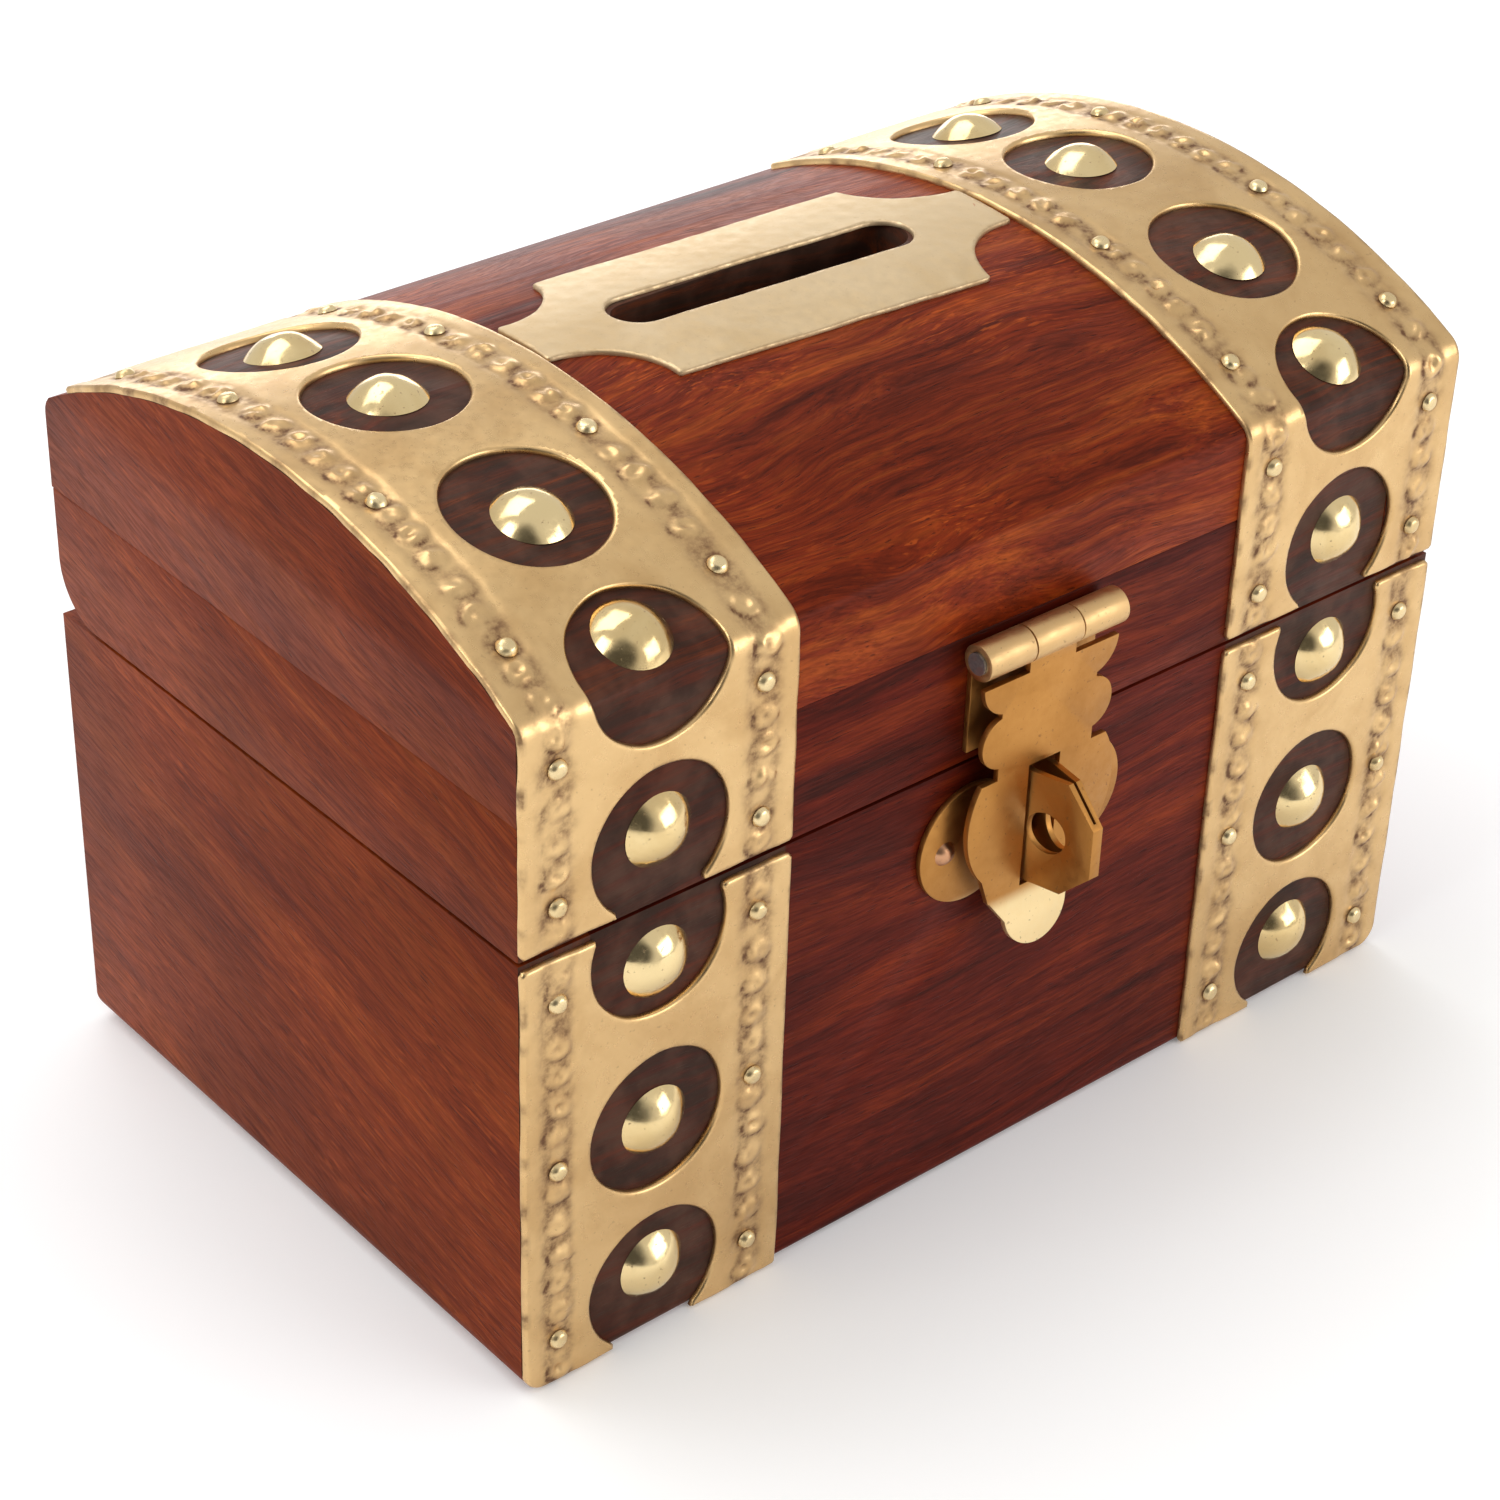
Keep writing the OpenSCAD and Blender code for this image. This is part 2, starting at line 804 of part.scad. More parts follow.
module staple() {
    color(brass_antique) difference() {
        intersection() {
            union() {
                translate([hasp_x, hasp_leaf_y, 0]) along_x(-staple_half_w, staple_half_w)
                    polygon([for (p = staple_outline) [-p[0], p[1]]]);
                translate([hasp_x - staple_half_w, hasp_leaf_y - past, tang_low])
                    cube([2 * staple_half_w, past + hasp_t + tang_l, tang_high - tang_low]);
            }
            staple_plan(staple_fold);
        }
        staple_plan(staple_hollow);
        translate([hasp_x, 0, 0])
            cross_rod(padlock_r, 2 * staple_half_w + 2 * past, hasp_leaf_y - padlock_out, staple_z);
    }
}

module staple_plate_rivets() {
    color(copper) at_rivets() domed_pin(rivet_head_r, pin_head_h, rivet_shank_r, rivet_l);
}

// ---------- rear hinges ----------

module hinge_mortise(side, z, h) {
    side_gap = 0.1;
    translate([side * hinge_x - hinge_l / 2 - side_gap, leaf_in_y - side_gap, z])
        cube([hinge_l + 2 * side_gap, wall_t, h]);
}

module hinge_barrel_pocket(side) {
    room = knuckle_r + 0.15;
    translate([side * hinge_x - hinge_l / 2 - 0.5, hinge_y - room, seam_z - room])
        cube([hinge_l + 1, wall_t, wall_t]);
}

module hinge_pin_rod(side, r, l) {
    translate([side * hinge_x, 0, 0]) cross_rod(r, l, hinge_y, seam_z);
}

// Knuckles of a rear hinge between the listed ends, measured from its middle.
module hinge_knuckles(side, spans) {
    for (span = spans)
        translate([side * hinge_x + (span[0] + span[1]) / 2, 0, 0])
            cross_rod(knuckle_r, span[1] - span[0], hinge_y, seam_z);
}

module hinge_leaf_sheet(side, z) {
    translate([side * hinge_x - hinge_l / 2, leaf_in_y, z])
        cube([hinge_l, hinge_y - leaf_in_y, leaf_t]);
}

// Cuts a leaf back beside the other leaf's knuckles, between the listed ends.
module hinge_knuckle_room(side, spans) {
    for (span = spans)
        translate([side * hinge_x + span[0], leaf_cut_y, seam_z - wall_t])
            cube([span[1] - span[0], wall_t, 2 * wall_t]);
}

module hinge_box_leaf(side) {
    half = hinge_l / 2;
    inner = hinge_third / 2;
    color(brass_antique) difference() {
        union() {
            difference() {
                hinge_leaf_sheet(side, box_top - leaf_t);
                hinge_knuckle_room(side, [[-inner, inner]]);
            }
            hinge_knuckles(side, [[-half, -inner], [inner, half]]);
        }
        hinge_pin_rod(side, hinge_pin_r, hinge_l + 2 * past);
        box_screws(side);
    }
}

module hinge_lid_leaf(side) {
    half = hinge_l / 2 + past;
    inner = hinge_third / 2 - knuckle_gap;
    color(brass_antique) difference() {
        union() {
            difference() {
                hinge_leaf_sheet(side, lid_low);
                hinge_knuckle_room(side, [[-half, -inner], [inner, half]]);
            }
            hinge_knuckles(side, [[-inner, inner]]);
        }
        hinge_pin_rod(side, hinge_pin_r + turn_gap, hinge_l + 2 * past);
        lid_screws(side);
    }
}

module hinge_pin(side) {
    color(steel_grey) hinge_pin_rod(side, hinge_pin_r, hinge_l + 0.4);
}

module hinge_left_box_leaf() {
    hinge_box_leaf(-1);
}

module hinge_left_lid_leaf() {
    hinge_lid_leaf(-1);
}

module hinge_left_pin() {
    hinge_pin(-1);
}

module hinge_right_box_leaf() {
    hinge_box_leaf(1);
}

module hinge_right_lid_leaf() {
    hinge_lid_leaf(1);
}

module hinge_right_pin() {
    hinge_pin(1);
}

module hinge_box_screws() {
    color(steel_grey) for (side = sides) box_screws(side);
}

module hinge_lid_screws() {
    color(steel_grey) for (side = sides) lid_screws(side);
}

box_front_panel();
box_back_panel();
box_left_panel();
box_right_panel();
box_base_panel();
box_base_brads();
lid_front_rail();
lid_back_rail();
lid_left_rail();
lid_right_rail();
lid_top_panel();
slot_plate();
slot_plate_pins();
lid_strap_left();
lid_strap_right();
box_strap_left();
box_strap_right();
lid_dome_nails();
box_dome_nails();
lid_strap_pins();
box_strap_pins();
hasp_leaf();
hasp_leaf_nails();
hasp_hinge_pin();
hasp_plate();
staple_plate();
staple();
staple_plate_rivets();
hinge_left_box_leaf();
hinge_left_lid_leaf();
hinge_left_pin();
hinge_right_box_leaf();
hinge_right_lid_leaf();
hinge_right_pin();
hinge_box_screws();
hinge_lid_screws();
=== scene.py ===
"""Looks of a small domed wooden donation box with brass strapping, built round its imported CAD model.

Shapes are worked out in millimetres, in the frame of the CAD model, and written to meshes in metres.
"""

import collections
import json
import math

import bmesh
import bpy
import numpy as np
from mathutils import Matrix, Vector

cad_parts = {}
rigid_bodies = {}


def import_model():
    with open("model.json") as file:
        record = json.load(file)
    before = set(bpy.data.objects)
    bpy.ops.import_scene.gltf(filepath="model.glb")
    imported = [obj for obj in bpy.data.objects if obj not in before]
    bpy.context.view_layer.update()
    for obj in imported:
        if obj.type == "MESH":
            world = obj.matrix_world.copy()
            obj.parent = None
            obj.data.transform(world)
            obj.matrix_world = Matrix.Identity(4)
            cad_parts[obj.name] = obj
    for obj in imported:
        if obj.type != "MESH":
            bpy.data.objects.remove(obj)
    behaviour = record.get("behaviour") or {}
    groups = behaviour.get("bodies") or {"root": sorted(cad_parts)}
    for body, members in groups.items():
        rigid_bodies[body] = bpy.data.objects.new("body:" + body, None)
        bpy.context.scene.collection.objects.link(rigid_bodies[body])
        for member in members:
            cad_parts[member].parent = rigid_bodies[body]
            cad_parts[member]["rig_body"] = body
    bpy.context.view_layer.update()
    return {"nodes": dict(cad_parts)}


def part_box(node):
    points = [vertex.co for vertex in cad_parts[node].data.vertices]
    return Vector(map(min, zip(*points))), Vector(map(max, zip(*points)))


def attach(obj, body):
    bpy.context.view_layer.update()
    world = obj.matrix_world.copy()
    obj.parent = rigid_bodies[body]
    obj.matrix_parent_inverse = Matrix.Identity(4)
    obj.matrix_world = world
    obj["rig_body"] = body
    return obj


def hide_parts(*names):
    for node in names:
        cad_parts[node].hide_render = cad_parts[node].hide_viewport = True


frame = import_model()
MM = 0.001


# ---------- dimensions read from the frame, in millimetres ----------

def box_mm(node):
    low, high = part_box(node)
    return np.array(low) / MM, np.array(high) / MM


END_LOW, END_HIGH = box_mm("box_left_panel")
HALF_W = -END_LOW[0]
HALF_D = -END_LOW[1]
SEAM_Z = (END_HIGH[2] + box_mm("lid_left_rail")[0][2]) / 2
CROWN_Z = box_mm("lid_top_panel")[1][2]
STRAP_LOW = box_mm("box_strap_right")[0]
LID_STRAP_LOW, LID_STRAP_HIGH = box_mm("lid_strap_right")
STRAP_T = -HALF_D - STRAP_LOW[1]
PLATE_LOW, PLATE_HIGH = box_mm("slot_plate")
PLATE_Y = (PLATE_LOW[1] + PLATE_HIGH[1]) / 2

# the lid's front is flat, and the top is one arc that meets it LID_FRONT_H above the seam;
# CORNER_R is the radius of the straps' bend there, and the lengths run along the outline from the seam
LID_FRONT_H = 30
CORNER_R = 2.6
RISE = CROWN_Z - SEAM_Z - LID_FRONT_H
ARC_R = (HALF_D**2 + RISE**2) / (2 * RISE)
ARC_Z = CROWN_Z - ARC_R
CORNER_Y = -(HALF_D - CORNER_R)
CORNER_Z = ARC_Z + math.sqrt((ARC_R - CORNER_R) ** 2 - CORNER_Y**2)
ARC_START = math.atan2(-CORNER_Y, CORNER_Z - ARC_Z)
FRONT_LEN = CORNER_Z - SEAM_Z
CORNER_LEN = CORNER_R * (math.pi / 2 - ARC_START)
CROWN_V = FRONT_LEN + CORNER_LEN + ARC_R * ARC_START

# the coin slot: half the length of its straight sides and half its width
SLOT_HALF = (18.75, 4.0)
SLOT_END = SLOT_HALF[0] + SLOT_HALF[1]

# round of the wood under the straps' lower outer corners
BOTTOM_R = 3.5

# the straps' punched holes: on the arc by length behind the crown, on the flats by height
PUNCH_R = 9.75
PUNCH_X = HALF_W - 19.5
LID_PUNCH_S = [25.3, 3, -23.7, -47.8]
LID_PUNCH_Z = 72
BOX_PUNCH_Z = [58, 32.4, 8.5]
LID_STRAP_END_S = 44


# ---------- places on the surface ----------

def over_lid(v):
    """Point (y, z) and outward direction (y, z) on the lid's outside, at length v above the seam."""
    v = np.asarray(v, float)
    turn = np.clip((v - FRONT_LEN) / CORNER_R, 0, math.pi / 2 - ARC_START)
    back = ARC_START - np.clip(v - FRONT_LEN - CORNER_LEN, 0, None) / ARC_R
    on_arc = v > FRONT_LEN + CORNER_LEN
    out_y = np.where(on_arc, -np.sin(back), -np.cos(turn))
    out_z = np.where(on_arc, np.cos(back), np.sin(turn))
    y = np.where(on_arc, ARC_R * out_y, CORNER_Y + CORNER_R * out_y)
    z = np.where(on_arc, ARC_Z + ARC_R * out_z, CORNER_Z + CORNER_R * out_z)
    z = np.where(v < FRONT_LEN, SEAM_Z + v, z)
    return y, z, out_y, out_z


def on_lid(u, v, lift):
    y, z, out_y, out_z = over_lid(v)
    return np.stack([u, y + lift * out_y, z + lift * out_z], -1)


def on_front(u, v, lift):
    return np.stack([u, -HALF_D - lift + 0 * v, v], -1)


def lid_v(point):
    """Length above the seam of a point on or near the lid's outside."""
    y, z = point[1], point[2]
    if y < -HALF_D:
        return z - SEAM_Z
    return CROWN_V + ARC_R * math.atan2(y, z - ARC_Z)


def wobble(u, v, length, seed, waves=7):
    """Smooth random field of about unit size, whose features are about length millimetres wide."""
    rng = np.random.default_rng(seed)
    total = np.zeros(np.broadcast(u, v).shape)
    for _ in range(waves):
        angle, phase = rng.uniform(0, 2 * math.pi, 2)
        pitch = length * rng.uniform(0.7, 1.6)
        total += np.sin((u * math.cos(angle) + v * math.sin(angle)) * 2 * math.pi / pitch + phase)
    return total / math.sqrt(waves / 2)


# ---------- making objects ----------

def placed(name, mesh, node, body, material, sharp):
    """The piece that shows a mesh, rides on a body and stands for a CAD node."""
    mesh.shade_smooth()
    mesh.set_sharp_from_angle(angle=math.radians(sharp))
    mesh.materials.append(material)
    piece = bpy.data.objects.new(name, mesh)
    bpy.context.scene.collection.objects.link(piece)
    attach(piece, body)
    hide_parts(node)
    return piece


def new_piece(name, points, faces, node, body, material, sharp=50):
    """A piece made from points in millimetres, standing for a CAD node."""
    mesh = bpy.data.meshes.new(name)
    mesh.from_pydata([tuple(p) for p in np.asarray(points) * MM], [], faces)
    build = bmesh.new()
    build.from_mesh(mesh)
    bmesh.ops.recalc_face_normals(build, faces=build.faces)
    build.to_mesh(mesh)
    build.free()
    return placed(name, mesh, node, body, material, sharp)


def snapped_grid(us, vs, edge):
    """A grid and edge(u, v) on it, with the points close to the edge's zero line moved onto the line."""
    u, v = np.meshgrid(us, vs, indexing="ij")
    value = edge(u, v)
    step, least_slope, reach = 0.02, 0.5, 0.3
    slope_u = (edge(u + step, v) - edge(u - step, v)) / (2 * step)
    slope_v = (edge(u, v + step) - edge(u, v - step)) / (2 * step)
    steep = np.maximum(slope_u**2 + slope_v**2, least_slope**2)
    close = np.abs(value) < reach * (vs[1] - vs[0])
    u = np.where(close, u - value * slope_u / steep, u)
    v = np.where(close, v - value * slope_v / steep, v)
    return u, v, np.where(close, 0, value)


def grid_outline(us, vs, edge):
    """Points and faces of the part of a grid where edge(u, v) is positive, cut along its zero line.

    The grid is snapped to the line first, so that no sliver faces are left.
    """
    u, v, value = snapped_grid(us, vs, edge)
    number = np.arange(u.size).reshape(u.shape)
    points = list(zip(u.ravel(), v.ravel()))
    flat = value.ravel()
    corners = np.stack([number[:-1, :-1], number[1:, :-1], number[1:, 1:], number[:-1, 1:]], -1)
    corners = corners.reshape(-1, 4)
    signs = np.sign(flat)[corners]
    whole = (signs >= 0).all(1) & (signs > 0).any(1)
    cut = (signs > 0).any(1) & (signs < 0).any(1)
    faces = [list(c) for c in corners[whole].tolist()]
    crossings = {}

    def crossing(a, b):
        key = (min(a, b), max(a, b))
        if key not in crossings:
            share = flat[a] / (flat[a] - flat[b])
            pa, pb = points[a], points[b]
            crossings[key] = len(points)
            points.append((pa[0] + share * (pb[0] - pa[0]), pa[1] + share * (pb[1] - pa[1])))
        return crossings[key]

    for cell in corners[cut].tolist():
        face = []
        for a, b in zip(cell, cell[1:] + cell[:1]):
            if flat[a] >= 0:
                face.append(a)
            if flat[a] * flat[b] < 0:
                face.append(crossing(a, b))
        if len(face) > 2:
            faces.append(face)
    used = sorted({i for face in faces for i in face})
    renumber = {old: new for new, old in enumerate(used)}
    return np.array([points[i] for i in used]), [[renumber[i] for i in face] for face in faces]


def sheet(us, vs, edge, lift, place, thick, chamfer):
    """Points, faces and (u, v) of a closed piece of sheet metal.

    edge(u, v) is the distance inside its outline, lift(u, v) the relief hammered into it, and
    place(u, v, height) carries it onto the surface that it lies on. Its upper face ends a chamfer
    inside the outline.
    """
    flat, faces = grid_outline(us, vs, lambda u, v: edge(u, v) - chamfer)
    count = len(flat)
    sides = {(a, b) for face in faces for a, b in zip(face, face[1:] + face[:1])}
    rim = sorted((a, b) for a, b in sides if (b, a) not in sides)
    outward = np.zeros_like(flat)
    for a, b in rim:
        along = flat[b] - flat[a]
        out = np.array([along[1], -along[0]]) / max(np.linalg.norm(along), 1e-9)
        outward[a] += out
        outward[b] += out
    size = np.linalg.norm(outward, axis=1, keepdims=True)
    outer = flat + chamfer * outward / np.maximum(size, 1e-9)
    height = lift(flat[:, 0], flat[:, 1])
    rim_points = sorted({i for pair in rim for i in pair})
    ring = {point: count + i for i, point in enumerate(rim_points)}
    under = count + len(rim_points)
    top = place(flat[:, 0], flat[:, 1], thick + height)
    shoulder = place(outer[rim_points, 0], outer[rim_points, 1], thick + height[rim_points] - chamfer)
    bottom = place(outer[:, 0], outer[:, 1], np.minimum(height, thick / 2))
    closed = list(faces) + [[under + i for i in reversed(face)] for face in faces]
    for a, b in rim:
        closed.append([b, a, ring[a], ring[b]])
        closed.append([ring[b], ring[a], under + a, under + b])
    uv = np.concatenate([flat, flat[rim_points], flat])
    return np.concatenate([top, shoulder, bottom]), closed, uv


def paint(piece, name, values):
    """Keep a number for each point of a piece, for its material to read."""
    layer = piece.data.attributes.new(name, "FLOAT", "POINT")
    layer.data.foreach_set("value", np.asarray(values, np.float32))


def loose_parts(node):
    """The separate solids of a CAD node, each as an array of its points in millimetres."""
    build = bmesh.new()
    build.from_mesh(frame["nodes"][node].data)
    bmesh.ops.remove_doubles(build, verts=build.verts, dist=1e-6)
    left = set(build.verts)
    parts = []
    while left:
        to_visit = [left.pop()]
        part = []
        while to_visit:
            vert = to_visit.pop()
            part.append(vert.co / MM)
            for link in vert.link_edges:
                other = link.other_vert(vert)
                if other in left:
                    left.remove(other)
                    to_visit.append(other)
        parts.append(np.array(part))
    build.free()
    return sorted(parts, key=lambda p: tuple(p.mean(0).round(2)))


def nail_places(node):
    """(middle of the surface under the head, outward direction) for each nail of a CAD node."""
    places = []
    for part in loose_parts(node):
        middle = (part.min(0) + part.max(0)) / 2
        if part[:, 1].min() < -HALF_D - STRAP_T / 2 and middle[2] < CORNER_Z:
            places.append((np.array([middle[0], -HALF_D, middle[2]]), np.array([0, -1.0, 0])))
        else:
            mean = part.mean(0)
            out = np.array([0, mean[1], mean[2] - ARC_Z])
            out /= np.linalg.norm(out)
            places.append((np.array([middle[0], 0, ARC_Z]) + ARC_R * out, out))
    return places


def nail_heads(name, node, profile, body, material, lift, dent=0.0, segments=40, seed=1):
    """Turned nails at the places of a CAD node's nails, each a little uneven and off straight."""
    lean_by, full_dent_z = 0.01, 0.8
    rng = np.random.default_rng(seed)
    points, faces = [], []
    ring_angles = np.arange(segments) * 2 * math.pi / segments
    for place, out in nail_places(node):
        first = len(points)
        lean = rng.normal(0, lean_by, 3)
        axis = Vector(out + lean).normalized()
        turn = axis.to_track_quat("Z", "Y").to_matrix()
        number = int(rng.integers(1, 10000))
        for radius, height in profile:
            x = radius * np.cos(ring_angles)
            y = radius * np.sin(ring_angles)
            share = min(max(height / full_dent_z, 0), 1)
            push = share * dent * (wobble(x, y, 4.5, number) + 0.35 * wobble(x, y, 1.4, number + 1))
            for px, py, pz in zip(x, y, height + push):
                points.append(Vector(place + lift * out) + turn @ Vector((px, py, pz)))
        faces.append([first + i for i in reversed(range(segments))])
        for ring in range(len(profile) - 1):
            for i in range(segments):
                a = first + ring * segments + i
                b = first + ring * segments + (i + 1) % segments
                faces.append([a, b, b + segments, a + segments])
        faces.append([first + (len(profile) - 1) * segments + i for i in range(segments)])
    return new_piece(name, np.array(points), faces, node, body, material, sharp=60)


def cap_profile(radius, height, shank_r, shank_l, flat_top=0.03, rings=12, squareness=2.0):
    """(radius, height) rings of a turned nail, from its crown out to the rim and down its shank."""
    below, point_l = 0.08, 1
    cap = []
    for i in range(rings + 1):
        share = flat_top + (1 - flat_top) * math.sin(i / rings * math.pi / 2)
        cap.append((radius * share, height * (1 - share**squareness) + 0.001 * height))
    rim = [(radius * 0.97, -0.06)]
    shank = [(shank_r, -below), (shank_r, -shank_l), (shank_r * 0.4, -shank_l - point_l)]
    return cap + rim + shank


def eased(node, width, material, shortest=0.45):
    """A copy of a CAD node with its sharp edges rounded off, standing for the node."""
    sharp = math.radians(32)
    source = frame["nodes"][node]
    mesh = bpy.data.meshes.new(node + "_eased")
    faces = [list(p.vertices) for p in source.data.polygons]
    mesh.from_pydata([v.co[:] for v in source.data.vertices], [], faces)
    build = bmesh.new()
    build.from_mesh(mesh)
    bmesh.ops.remove_doubles(build, verts=build.verts, dist=2e-6)
    bmesh.ops.dissolve_limit(build, angle_limit=math.radians(0.6), verts=build.verts, edges=build.edges)
    edges = [
        e for e in build.edges
        if len(e.link_faces) == 2 and e.calc_face_angle() > sharp
        and e.calc_length() > shortest * MM
    ]
    bmesh.ops.bevel(
        build, geom=edges, offset=width * MM, offset_type="OFFSET", segments=2, profile=0.5,
        affect="EDGES", clamp_overlap=True,
    )
    build.to_mesh(mesh)
    build.free()
    return placed(node + "_eased", mesh, node, source["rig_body"], material, 30)


# ---------- node materials ----------

class Shader:
    """Short names for the nodes that the materials below are made of."""

    def __init__(self, name):
        self.material = bpy.data.materials.new(name)
        self.material.use_nodes = True
        self.tree = self.material.node_tree
        self.surface = self.tree.nodes["Principled BSDF"]
        self.place = self.node("ShaderNodeTexCoord")
        scaled = self.node("ShaderNodeVectorMath", operation="SCALE")
        self.link(self.place.outputs["Object"], scaled.inputs[0])
        scaled.inputs["Scale"].default_value = 1 / MM
        self.millimetres = scaled.outputs[0]

    def node(self, kind, **settings):
        made = self.tree.nodes.new(kind)
        for key, value in settings.items():
            setattr(made, key, value)
        return made

    def link(self, source, target):
        self.tree.links.new(source, target)

    def put(self, target, value):
        if isinstance(value, bpy.types.NodeSocket):
            self.link(value, target)
        else:
            target.default_value = value

    def split(self, vector):
        """The x, y and z of a vector."""
        made = self.node("ShaderNodeSeparateXYZ")
        self.link(vector, made.inputs[0])
        return made.outputs

    def normal(self):
        return self.split(self.place.outputs["Normal"])

    def mapped(self, vector, scale=(1, 1, 1), turn=(0, 0, 0), shift=(0, 0, 0)):
        """The vector scaled, turned by degrees and shifted."""
        made = self.node("ShaderNodeMapping")
        self.link(vector, made.inputs["Vector"])
        made.inputs["Scale"].default_value = scale
        made.inputs["Rotation"].default_value = [math.radians(a) for a in turn]
        made.inputs["Location"].default_value = shift
        return made.outputs[0]

    def turned(self, vector, along, shift):
        """The vector in axes whose first runs along the given direction."""
        first = Vector(along).normalized()
        second = first.orthogonal().normalized()
        joined = self.node("ShaderNodeCombineXYZ")
        for place, axis in zip(joined.inputs, (first, second, first.cross(second))):
            dot = self.node("ShaderNodeVectorMath", operation="DOT_PRODUCT")
            self.link(vector, dot.inputs[0])
            dot.inputs[1].default_value = axis
            self.link(dot.outputs["Value"], place)
        return self.mapped(joined.outputs[0], shift=shift)

    def pushed(self, vector, colour, amount):
        """The vector moved across its first axis by a noise colour."""
        made = self.node("ShaderNodeVectorMath", operation="MULTIPLY_ADD")
        self.link(colour, made.inputs[0])
        made.inputs[1].default_value = (0, amount, amount)
        self.link(vector, made.inputs[2])
        return made.outputs[0]

    def scaled(self, colour, factor):
        """The colour made lighter or darker by a factor."""
        made = self.node("ShaderNodeVectorMath", operation="SCALE")
        self.link(colour, made.inputs[0])
        self.link(factor, made.inputs["Scale"])
        return made.outputs[0]

    def noise(self, vector, scale, detail=3, rough=0.5, warp=0.0, colour=False):
        made = self.node("ShaderNodeTexNoise")
        self.link(vector, made.inputs["Vector"])
        made.inputs["Scale"].default_value = scale
        made.inputs["Detail"].default_value = detail
        made.inputs["Roughness"].default_value = rough
        made.inputs["Distortion"].default_value = warp
        return made.outputs["Color" if colour else "Fac"]

    def sums(self, operation, a, b=0.0, clamp=False):
        """One piece of arithmetic on numbers or sockets."""
        made = self.node("ShaderNodeMath", operation=operation, use_clamp=clamp)
        self.put(made.inputs[0], a)
        self.put(made.inputs[1], b)
        return made.outputs[0]

    def step(self, value, low, high, start=0.0, end=1.0):
        """Smooth change from start to end as value goes from low to high."""
        made = self.node("ShaderNodeMapRange", interpolation_type="SMOOTHSTEP")
        self.put(made.inputs["Value"], value)
        made.inputs["From Min"].default_value = low
        made.inputs["From Max"].default_value = high
        made.inputs["To Min"].default_value = start
        made.inputs["To Max"].default_value = end
        return made.outputs[0]

    def mix(self, share, a, b, blend="MIX"):
        made = self.node("ShaderNodeMix", data_type="RGBA", blend_type=blend)
        self.put(made.inputs["Factor"], share)
        self.put(made.inputs[6], a)
        self.put(made.inputs[7], b)
        return made.outputs[2]

    def ramp(self, value, stops):
        made = self.node("ShaderNodeValToRGB")
        self.link(value, made.inputs[0])
        ramp = made.color_ramp
        while len(ramp.elements) < len(stops):
            ramp.elements.new(0.5)
        for element, (position, colour) in zip(ramp.elements, stops):
            element.position = position
            element.color = (*colour, 1)
        return made.outputs[0]

    def bump(self, height, distance):
        """Normals of a fine relief, whose height of 1 is a distance in millimetres."""
        made = self.node("ShaderNodeBump")
        made.inputs["Strength"].default_value = 1
        made.inputs["Distance"].default_value = distance * MM
        self.link(height, made.inputs["Height"])
        return made.outputs[0]

    def finish(self, **inputs):
        """The finished material, with the named inputs of its surface set."""
        for name, value in inputs.items():
            self.put(self.surface.inputs[name.replace("_", " ")], value)
        return self.material


def rgb(r, g, b):
    return (r, g, b, 1)


# dark stain of the wood under the straps, also used as painted shade on the walls of the coin slot
DARK_STAIN_AND_SHADE = rgb(0.036, 0.018, 0.012)
THIN_STAIN_AND_SHADE = rgb(0.085, 0.040, 0.026)


